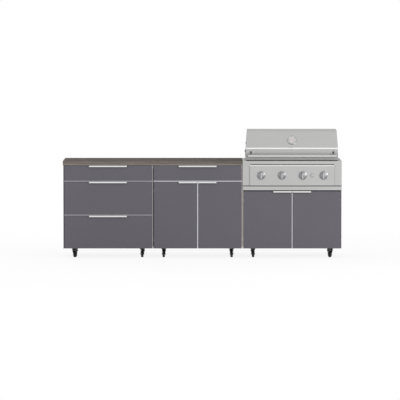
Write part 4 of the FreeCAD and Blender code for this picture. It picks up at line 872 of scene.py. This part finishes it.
def middle_of(name):
    """The middle of a node's box, on the panel's face."""
    low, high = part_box(name)
    return Vector(((low.x + high.x) / 2, PANEL_FACE, (low.z + high.z) / 2))


BEZEL_SECTION = ((0.0336, 0.0), (0.0336, 0.0052), (0.0342, 0.006), (0.0370, 0.006), (0.0388, 0.0052),
                 (0.0397, 0.0036), (0.0400, 0.0015), (0.0400, 0.0))
BUTTON_RING_SECTION = ((0.0136, 0.0), (0.0136, 0.0036), (0.0142, 0.0042), (0.0158, 0.0042),
                       (0.0167, 0.0034), (0.0170, 0.0018), (0.0170, 0.0))
bezel_model = dress(spun("bezel", (0, 0, 0), OUTWARDS, BEZEL_SECTION, 64), finish["gauge_steel"])
for name in KNOBS:
    mount(copied(bezel_model, middle_of(name), name + "_bezel"), "island")
put_away(bezel_model)
button_ring = spun("button_bezel", middle_of("light_button"), OUTWARDS, BUTTON_RING_SECTION, 40)
mount(dress(button_ring, finish["gauge_steel"]), "island")
print("bezels at", [round(middle_of(name).x, 4) for name in KNOBS])

# %% [markdown]
# ## The four burner knobs
#
# A gas knob is a die-cast disc with a skirt, a waisted body and an upright grip bar that also points.
# The round part is a spun section. The grip starts as a bar whose outer face is drawn in, whose
# sides are hollowed for the fingers and whose edges are eased. A dark filled line on its upper end
# shows where the knob points. One knob is modelled, and each knob on the panel is a copy of it.

# %% A knob
GRIP_HALF_WIDTH, GRIP_HALF_HEIGHT, GRIP_BACK, GRIP_FRONT = 0.0070, 0.0308, 0.0190, 0.0376
GRIP_DRAW, FINGER_RIM, FINGER_DEPTH = (0.72, 1, 0.93), 0.0022, 0.0007
POINTER_HALF_WIDTH, POINTER_FOOT, POINTER_TOP = 0.0007, 0.0120, 0.0275
POINTER_BACK, POINTER_FRONT = 0.0370, 0.03785
STEM_RADIUS, STEM_OVERLAP = 0.0039, 0.004
KNOB_SECTION = ((0.0, 0.0006), (0.0322, 0.0006), (0.0330, 0.0014), (0.0330, 0.0048), (0.0322, 0.0064),
                (0.0275, 0.0080), (0.0262, 0.0100), (0.0256, 0.0180), (0.0246, 0.0204), (0.0222, 0.0216),
                (0.0, 0.0218))


def knob_grip(name, centre):
    """The grip bar: a bar drawn in towards its outer face, with soft edges."""
    grip = bar_stock(name, centre + Vector((-GRIP_HALF_WIDTH, -GRIP_FRONT, -GRIP_HALF_HEIGHT)),
                     centre + Vector((GRIP_HALF_WIDTH, -GRIP_BACK, GRIP_HALF_HEIGHT)))
    choose(grip, lambda c, n: n.y < -0.9)
    bpy.ops.transform.resize(value=GRIP_DRAW, center_override=centre + OUTWARDS * GRIP_FRONT)
    bpy.ops.object.mode_set(mode="OBJECT")
    choose(grip, lambda c, n: abs(n.x) > 0.8)
    bpy.ops.mesh.inset(thickness=FINGER_RIM, depth=-FINGER_DEPTH)
    bpy.ops.object.mode_set(mode="OBJECT")
    return ease(grip, 0.0014, 3, 25)


centre = middle_of("knob_1")
disc = spun("knob_disc", centre, OUTWARDS, KNOB_SECTION, 64)
grip = knob_grip("knob_grip", centre)
stem_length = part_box("knob_1")[1].y - PANEL_FACE + STEM_OVERLAP
stem = round_stock("knob_stem", centre + OUTWARDS * STEM_OVERLAP, INWARDS, STEM_RADIUS, stem_length, 24)
line_model = bar_stock("pointer", centre + Vector((-POINTER_HALF_WIDTH, -POINTER_FRONT, POINTER_FOOT)),
                       centre + Vector((POINTER_HALF_WIDTH, -POINTER_BACK, POINTER_TOP)))
# The disc's darker metal beside the lighter grip is partly painted shade around the grip.
for piece, material in ((disc, finish["knob_steel"]), (grip, grip_metal), (stem, finish["knob_steel"]),
                        (line_model, dark_print_and_painted_shade)):
    dress(piece, material)
knob_model = joined([disc, grip, stem], "knob")
for name in KNOBS:
    step = middle_of(name) - centre
    knob = mount(copied(knob_model, step, name + "_turned"), name)
    mount(copied(line_model, step, name + "_pointer"), name)
    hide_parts(name)
put_away(knob_model, line_model)
print("knob", len(knob.data.polygons), "faces")

# %% [markdown]
# ## The light button
#
# The button is a small cap that is pushed in. Its face is slightly dished so that a finger finds it,
# and the cap is a spun section on its plunger.

# %% Button cap
centre = middle_of("light_button")
low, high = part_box("light_button")
cap_depth = PANEL_FACE - low.y
CAP_SECTION = ((0.0, -0.0005), (0.0123, -0.0005), (0.0128, 0.0), (0.0130, cap_depth - 0.0012),
               (0.0126, cap_depth - 0.0004), (0.0118, cap_depth), (0.0104, cap_depth - 0.0001),
               (0.0060, cap_depth - 0.0008), (0.0, cap_depth - 0.0010))
cap = spun("light_button_cap", centre, OUTWARDS, CAP_SECTION, 40)
plunger = round_stock("light_button_plunger", centre, INWARDS, 0.0048, high.y - PANEL_FACE, 20)
for piece in (cap, plunger):
    dress(piece, finish["button_steel"])
button = joined([cap, plunger], "light_button_turned")
mount(button, "light_button")
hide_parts("light_button")
print("button proud by", round(cap_depth * 1000, 1), "mm")

# %% [markdown]
# ## The lid's dial
#
# A bimetal dial: a polished bezel, a pale face with ticks and round numbers, an amber and a red
# zone, a needle and a glass. A picture of a dial would blur from near by, so its marks are thin
# raised pieces. Everything is laid out around one axis that stands square on the lid's sloping
# front. The case is closed behind the face, and its floor lies under the marks.

# %% Dial axes and case
SLOPE_BACK, SLOPE_RISE = 0.090, 0.159
LIP_MIDDLE, DIAL_CLIMB = Vector((0.8255, -0.2365, 1.013)), 0.078
DIAL_UP = Vector((0, SLOPE_BACK, SLOPE_RISE)).normalized()
DIAL_OUT = Vector((0, -DIAL_UP.z, DIAL_UP.y))
DIAL_FOOT = LIP_MIDDLE + DIAL_UP * DIAL_CLIMB
DIAL_FACE = 0.0076
SWEEP_START, SWEEP_END = math.radians(-130), math.radians(130)
CASE_SECTION = ((0.0, 0.0002), (0.0435, 0.0002), (0.0435, 0.0070), (0.0430, 0.0095), (0.0414, 0.0116),
                (0.0398, 0.0120), (0.0384, 0.0116), (0.0376, 0.0104), (0.0374, 0.0070), (0.0, 0.0070))
case = spun("dial_case", DIAL_FOOT, DIAL_OUT, CASE_SECTION, 72)
mount(dress(case, dial_steel), "lid")
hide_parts("thermometer")


def on_dial(radius, turn, rise):
    """A point on the dial: distance from its middle, angle clockwise from the top, and rise."""
    across = Vector((math.sin(turn), 0, 0)) + DIAL_UP * math.cos(turn)
    return DIAL_FOOT + across * radius + DIAL_OUT * rise


def dial_turn(turn):
    """The rotation that stands a mark upright on the dial and turns it clockwise."""
    upright = Matrix((Vector((1, 0, 0)), DIAL_UP, DIAL_OUT)).transposed()
    return (upright @ Matrix.Rotation(-turn, 3, "Z")).to_euler()


def dial_bar(name, radius, turn, wide, tall, rise=DIAL_FACE, thick=0.0002):
    """A thin mark on the dial."""
    put_down()
    bpy.ops.mesh.primitive_cube_add(size=1, location=on_dial(radius, turn, rise), rotation=dial_turn(turn),
                                    scale=(wide, tall, thick))
    return settle(name)


# %% Dial face, zones, ticks and numbers
PLATE_RADIUS, TICK_RING, NUMBER_RING, ZONE_RING = 0.0373, 0.0348, 0.0252, 0.0185
TICKS, TICKS_PER_NUMBER, MAJOR_TICK, MINOR_TICK = 30, 5, (0.0007, 0.0042), (0.0004, 0.0024)
NUMBER_SIZE, NUMBER_RISE = 0.0072, 0.00008
LOW_ZONE, HIGH_ZONE, ZONE_WIDTH, ZONE_OVERLAP = (-40, 42), (46, 128), 0.0034, 1.03
face_white = coated("dial_white", (0.46, 0.45, 0.44), (0.53, 0.515, 0.505), 0.6, 200, 0.02, 0.0)
zone_red = coated("dial_red", (0.52, 0.16, 0.15), (0.60, 0.20, 0.19), 0.55, 200, 0.02, 0.0)
zone_amber = coated("dial_amber", (0.62, 0.42, 0.36), (0.68, 0.48, 0.41), 0.55, 200, 0.02, 0.0)
PLATE_SECTION = ((0.0, 0.0068), (PLATE_RADIUS, 0.0068), (PLATE_RADIUS, DIAL_FACE), (0.0, DIAL_FACE))
plate = spun("dial_plate", DIAL_FOOT, DIAL_OUT, PLATE_SECTION, 64)
mount(dress(plate, face_white), "lid")


def zone(name, first, last, material, steps=14):
    """A coloured band of short bars side by side, between two angles in degrees."""
    first, last = math.radians(first), math.radians(last)
    step = (last - first) / steps
    wide = ZONE_RING * step * ZONE_OVERLAP
    bars = [dial_bar(name, ZONE_RING, first + step * (index + 0.5), wide, ZONE_WIDTH)
            for index in range(steps)]
    return mount(dress(joined(bars, name), material), "lid")


sweep = SWEEP_END - SWEEP_START
ticks = []
for index in range(TICKS + 1):
    wide, tall = MINOR_TICK if index % TICKS_PER_NUMBER else MAJOR_TICK
    turn = SWEEP_START + sweep * index / TICKS
    ticks.append(dial_bar("tick", TICK_RING - tall / 2, turn, wide, tall))
numbers = []
for index in range(0, TICKS + 1, TICKS_PER_NUMBER):
    turn = SWEEP_START + sweep * index / TICKS
    bpy.ops.object.text_add(location=on_dial(NUMBER_RING, turn, DIAL_FACE), rotation=dial_turn(0))
    number = bpy.context.object
    number.data.body = str(100 * (index // TICKS_PER_NUMBER + 1))
    number.data.size = NUMBER_SIZE
    number.data.align_x = "CENTER"
    number.data.align_y = "CENTER"
    number.data.extrude = NUMBER_RISE
    bpy.ops.object.convert(target="MESH")
    numbers.append(settle("number"))
zone("dial_zone_low", *LOW_ZONE, zone_amber)
zone("dial_zone_high", *HIGH_ZONE, zone_red)
marks = joined(ticks + numbers, "dial_marks")
mount(dress(marks, dark_print_and_painted_shade), "lid")
print("dial marks", len(marks.data.polygons), "faces")

# %% Needle and glass
NEEDLE_TURN, NEEDLE_RISE = SWEEP_START + 0.02, DIAL_FACE + 0.0012
NEEDLE_MIDDLE, NEEDLE_TIP, NEEDLE_TAPER = 0.0120, 0.028, 0.25
NEEDLE_WIDTH, NEEDLE_LENGTH, NEEDLE_THICKNESS = 0.0018, 0.0320, 0.0005
HUB_SECTION = ((0.0, DIAL_FACE), (0.0032, DIAL_FACE), (0.0032, 0.0094), (0.0024, 0.0099), (0.0, 0.0100))
PANE_SECTION = ((0.0, 0.0102), (0.0374, 0.0102), (0.0374, 0.0107), (0.0300, 0.0110), (0.0, 0.0112))
needle = dial_bar("dial_needle", NEEDLE_MIDDLE, NEEDLE_TURN, NEEDLE_WIDTH, NEEDLE_LENGTH, NEEDLE_RISE,
                  NEEDLE_THICKNESS)
choose(needle, lambda c, n: (c - DIAL_FOOT).length > NEEDLE_TIP - 0.001)
bpy.ops.transform.resize(value=(NEEDLE_TAPER, NEEDLE_TAPER, NEEDLE_TAPER),
                         center_override=on_dial(NEEDLE_TIP, NEEDLE_TURN, NEEDLE_RISE))
bpy.ops.object.mode_set(mode="OBJECT")
hub = spun("dial_hub", DIAL_FOOT, DIAL_OUT, HUB_SECTION, 24)
for piece in (needle, hub):
    dress(piece, zone_red)
mount(joined([needle, hub], "dial_needle"), "lid")
glass, tree, shader = new_finish("dial_glass", roughness=0.04, specular=0.9)
shader.inputs["Base Color"].default_value = (0.9, 0.92, 0.93, 1)
shader.inputs["Alpha"].default_value = 0.1
haze = remap(tree, speckle(tree, stretched(tree), 60.0), 0.3, 0.7, 0.03, 0.09)
tree.links.new(haze, shader.inputs["Roughness"])
pane = spun("dial_pane", DIAL_FOOT, DIAL_OUT, PANE_SECTION, 48)
mount(dress(pane, glass), "lid")
print("pane", len(pane.data.polygons), "faces")

# %% [markdown]
# ## Wheels
#
# A furniture caster's wheel is a moulded disc with rounded shoulders, a shallow dished web and a hub
# around the axle. A bevelled disc would have no dish, so a section is spun: half of it is written
# down and mirrored, and it is a closed ring, so the bore for the axle stays open. Two casters stand
# a little askew. One wheel is spun for each way the axles point, and all twelve are copies of these.

# %% Twelve wheels
HALF_WHEEL = ((0.0041, 0.0108), (0.0088, 0.0108), (0.0094, 0.0102), (0.0098, 0.0082), (0.0215, 0.0076),
              (0.0226, 0.0084), (0.0232, 0.0106), (0.0280, 0.0110), (0.0302, 0.0098), (0.0312, 0.0072),
              (0.0315, 0.0040))
WHEEL_SECTION = [(radius, -along) for radius, along in HALF_WHEEL] + list(reversed(HALF_WHEEL))


def hub_of(name):
    """The middle of a wheel, and the axis that it turns on, from its joint."""
    low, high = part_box(name)
    for joint in frame["joints"]:
        if joint["child"] == name:
            return (low + high) / 2, Vector(joint["axis"]).normalized()


wheels = [end + "_wheel_" + str(number) for end in ("front", "rear") for number in range(1, 7)]
wheel_models = {}
for name in wheels:
    middle, axis = hub_of(name)
    way = tuple(round(share, 3) for share in axis)
    if way not in wheel_models:
        model = spun("wheel", (0, 0, 0), axis, WHEEL_SECTION, 40)
        wheel_models[way] = dress(model, finish["wheel_black"], smooth=45)
    wheel = copied(wheel_models[way], middle, name + "_moulded")
    mount(wheel, body_of[name])
    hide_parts(name)
print("wheels", len(wheels), "of", len(wheel.data.polygons), "faces, copied from", len(wheel_models))
put_away(*wheel_models.values())

# %% [markdown]
# ## Forks, grates, burners and small fittings
#
# The forks are pressed steel, the grates cast and enamelled, the burners tubes of sheet steel. Their
# solids are right in outline, so they are softened like the sheets: the grates with the roundest
# edges, and the small parts with a single facet, because nobody sees them from near.

# %% Softened forks, grates, burners and fittings
fittings = [softened("swivel_fork_" + str(number), 0.0005) for number in range(1, 7)]
fittings.append(softened("caster_mounts", 0.0005))
for name, width in (("cooking_grates", 0.0010), ("burners", 0.0004), ("cabinet_hardware", 0.0003),
                    ("gas_manifold", 0.0004)):
    fittings.append(softened(name, width, 1))
print("softened", [piece.name for piece in fittings])

# %% [markdown]
# ## Marks around the knobs
#
# Each knob has a printed scale: a dot straight above it for off, and strokes that grow on both
# sides of it. The light button has a few short rays. Printed marks could be drawn by the material,
# but thin raised strokes stay sharp from near by, as screen printing does.

# %% Printed marks
MARK_RADIUS, DOT_RISE, PRINT_THICKNESS = 0.0440, 0.0025, 0.0002
STROKES_EACH_SIDE, FIRST_STROKE, STROKE_STEP = 6, 20, 9
STROKE_WIDTH, SHORTEST_STROKE, STROKE_GROWTH = 0.0010, 0.0029, 0.0007
RAY_RADIUS, RAY_WIDTH, RAY_LENGTH, RAYS = 0.0230, 0.0009, 0.0034, (-60, -30, 0, 30, 60)
DOT_SECTION = ((0.0, 0.0), (0.0017, 0.0), (0.0017, 0.0001), (0.0, 0.0001))


def stroke(middle, radius, angle, wide, tall):
    """A thin stroke on the control panel, at an angle in degrees clockwise from straight up."""
    put_down()
    turn = math.radians(angle)
    place = middle + Vector((math.sin(turn), 0, math.cos(turn))) * radius
    bpy.ops.mesh.primitive_cube_add(size=1, location=place, rotation=(0, turn, 0),
                                    scale=(wide, PRINT_THICKNESS, tall))
    return settle("stroke")


middle = middle_of("knob_1")
dot_place = middle + Vector((0, 0, MARK_RADIUS + DOT_RISE))
scale_strokes = [spun("off_dot", dot_place, OUTWARDS, DOT_SECTION, 16)]
for index in range(STROKES_EACH_SIDE):
    tall = SHORTEST_STROKE + STROKE_GROWTH * index
    for side in (-1, 1):
        angle = side * (FIRST_STROKE + STROKE_STEP * index)
        scale_strokes.append(stroke(middle, MARK_RADIUS + tall / 2, angle, STROKE_WIDTH, tall))
scale_model = joined(scale_strokes, "knob_scale")
scales = [copied(scale_model, middle_of(name) - middle, "knob_scale") for name in KNOBS]
put_away(scale_model)
rays = [stroke(middle_of("light_button"), RAY_RADIUS, angle, RAY_WIDTH, RAY_LENGTH) for angle in RAYS]
marks = joined(scales + rays, "panel_marks")
mount(dress(marks, print_grey), "island")
print("panel marks", len(marks.data.polygons), "faces")

# %% [markdown]
# ## Small fastenings and trim
#
# What makes sheet metal look made, not drawn, are its fastenings: pan-head screws along the back
# panels, a rubber grommet in the hole for the gas hose, caps on the handle's ends, two studs on the
# lid's left end, and bumpers behind the fronts. A pattern in a material would lie flat, so all of
# them are small turned sections. One screw, stud and bumper is modelled, and the rest are copies.

# %% Screws on the back
BACK_FACE = 0.3335
SCREW_SECTION = ((0.0, -0.0004), (0.0036, -0.0004), (0.0036, 0.0005), (0.0030, 0.0011), (0.0014, 0.0014),
                 (0.0, 0.0014))
RECESS_LENGTH, RECESS_WIDTH, RECESS_FLOOR, RECESS_TOP = 0.0036, 0.0008, 0.0013, 0.00155
SCREW_INSET, LOWEST_SCREW = 0.016, 0.106
GRILL_SCREWS = [(x, z) for x in (0.395, 1.256) for z in (0.66, 0.86)]
PANELS = ((-1.2745, -0.4555, 0.852), (-0.4515, 0.3675, 0.852), (0.3715, 1.2795, 0.619))
head = dress(spun("screw_head", (0, BACK_FACE, 0), INWARDS, SCREW_SECTION, 14), finish["zinc_steel"])
# A dark cross on each screw head is painted shade for its recess.
painted_recess_shade = [bar_stock("painted_recess_shade", (-wide / 2, BACK_FACE + RECESS_FLOOR, -tall / 2),
                    (wide / 2, BACK_FACE + RECESS_TOP, tall / 2))
          for wide, tall in ((RECESS_LENGTH, RECESS_WIDTH), (RECESS_WIDTH, RECESS_LENGTH))]
for piece in painted_recess_shade:
    dress(piece, dark_print_and_painted_shade)
screw_model = joined([head] + painted_recess_shade, "screw")
spots = []
for left, right, top in PANELS:
    ends = (left + SCREW_INSET, right - SCREW_INSET)
    highest = top - SCREW_INSET
    spots += [(x, z) for x in (*ends, (left + right) / 2) for z in (LOWEST_SCREW, highest)]
    rise = highest - LOWEST_SCREW
    spots += [(x, LOWEST_SCREW + rise * share) for x in ends for share in (1 / 3, 2 / 3)]
spots += GRILL_SCREWS
screws = [copied(screw_model, (x, 0, z), "screw_copy") for x, z in spots]
put_away(screw_model)
mount(joined(screws, "back_screws"), "island")
print("screws", len(spots))

# %% Grommet in the hose hole
HOSE_HOLE = (0.8255, BACK_FACE, 0.200)
GROMMET_SECTION = ((0.0268, -0.0045), (0.0268, 0.0018), (0.0280, 0.0026), (0.0325, 0.0022),
                   (0.0335, 0.0002), (0.0292, 0.0002), (0.0292, -0.0033), (0.0325, -0.0033),
                   (0.0325, -0.0045))
grommet = spun("hose_grommet", HOSE_HOLE, INWARDS, GROMMET_SECTION, 40)
mount(dress(grommet, finish["wheel_black"]), "island")
print("grommet", len(grommet.data.polygons), "faces")

# %% Handle caps and lid studs
HANDLE_AXIS = (-0.2865, 0.9380)
HANDLE_CAP = ((0.0, -0.0010), (0.0130, -0.0010), (0.0136, 0.0), (0.0136, 0.0010), (0.0128, 0.0018),
              (0.0090, 0.0019), (0.0086, 0.0014), (0.0, 0.0014))
low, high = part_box("lid_handle")
for name, x, way in (("handle_cap_left", low.x, -1), ("handle_cap_right", high.x, 1)):
    cap = spun(name, (x, *HANDLE_AXIS), (way, 0, 0), HANDLE_CAP, 32)
    mount(dress(cap, finish["gauge_steel"]), "lid")
STUD = ((0.0, -0.0030), (0.0040, -0.0030), (0.0040, 0.0060), (0.0062, 0.0062), (0.0062, 0.0088),
        (0.0052, 0.0098), (0.0, 0.0100))
UPPER_STUD, LOWER_STUD = (0.4071, -0.150, 1.055), (0.4045, -0.190, 0.984)
stud_model = dress(spun("stud", (0, 0, 0), (-1, 0, 0), STUD, 20), finish["gauge_steel"])
for name, place in (("lid_stud_upper", UPPER_STUD), ("lid_stud_lower", LOWER_STUD)):
    mount(copied(stud_model, place, name), "lid")
put_away(stud_model)
print("handle caps at", round(low.x, 4), round(high.x, 4))

# %% Bumpers behind the fronts
BUMPER = ((0.0, 0.0), (0.0040, 0.0), (0.0042, 0.0006), (0.0038, 0.0014), (0.0026, 0.0018), (0.0, 0.0019))
BUMPER_INSET, DRAWER_BUMPER_DROP, DOOR_BUMPER_INSET = 0.012, 0.010, 0.03
fronts = ["drawer_front_" + name for name in DRAWERS] + ["door_" + name for name in DOORS]
bumper_model = spun("bumper", (0, 0, 0), INWARDS, BUMPER, 16)
for name in fronts:
    low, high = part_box(name)
    if name.startswith("drawer"):
        sides = (low.x + BUMPER_INSET, high.x - BUMPER_INSET)
        corners = [(x, high.z - DRAWER_BUMPER_DROP) for x in sides]
    else:
        free = high.x - BUMPER_INSET if name.endswith("left") else low.x + BUMPER_INSET
        corners = [(free, z) for z in (low.z + DOOR_BUMPER_INSET, high.z - DOOR_BUMPER_INSET)]
    bumpers = [copied(bumper_model, (x, high.y, z), "bumper") for x, z in corners]
    mount(dress(joined(bumpers, name + "_bumpers"), grey_rubber_and_painted_shade), body_of[name])
put_away(bumper_model)
print("bumpers behind", len(fronts), "fronts")

# %% [markdown]
# ## Solids that keep their shape
#
# Pins, hinges, runners, valve bodies and the other hidden fittings already look right as solids, so
# they stay and only get their finish.

# %% Finishes for the solids that stay
for name, solid in node.items():
    solid.data.materials.clear()
    solid.data.materials.append(finish[slot_of[name]])
print("finished", len(node), "solids")

# %% Sizes, and the end
low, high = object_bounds()
print("visual box", [round(v, 3) for v in low], [round(v, 3) for v in high])
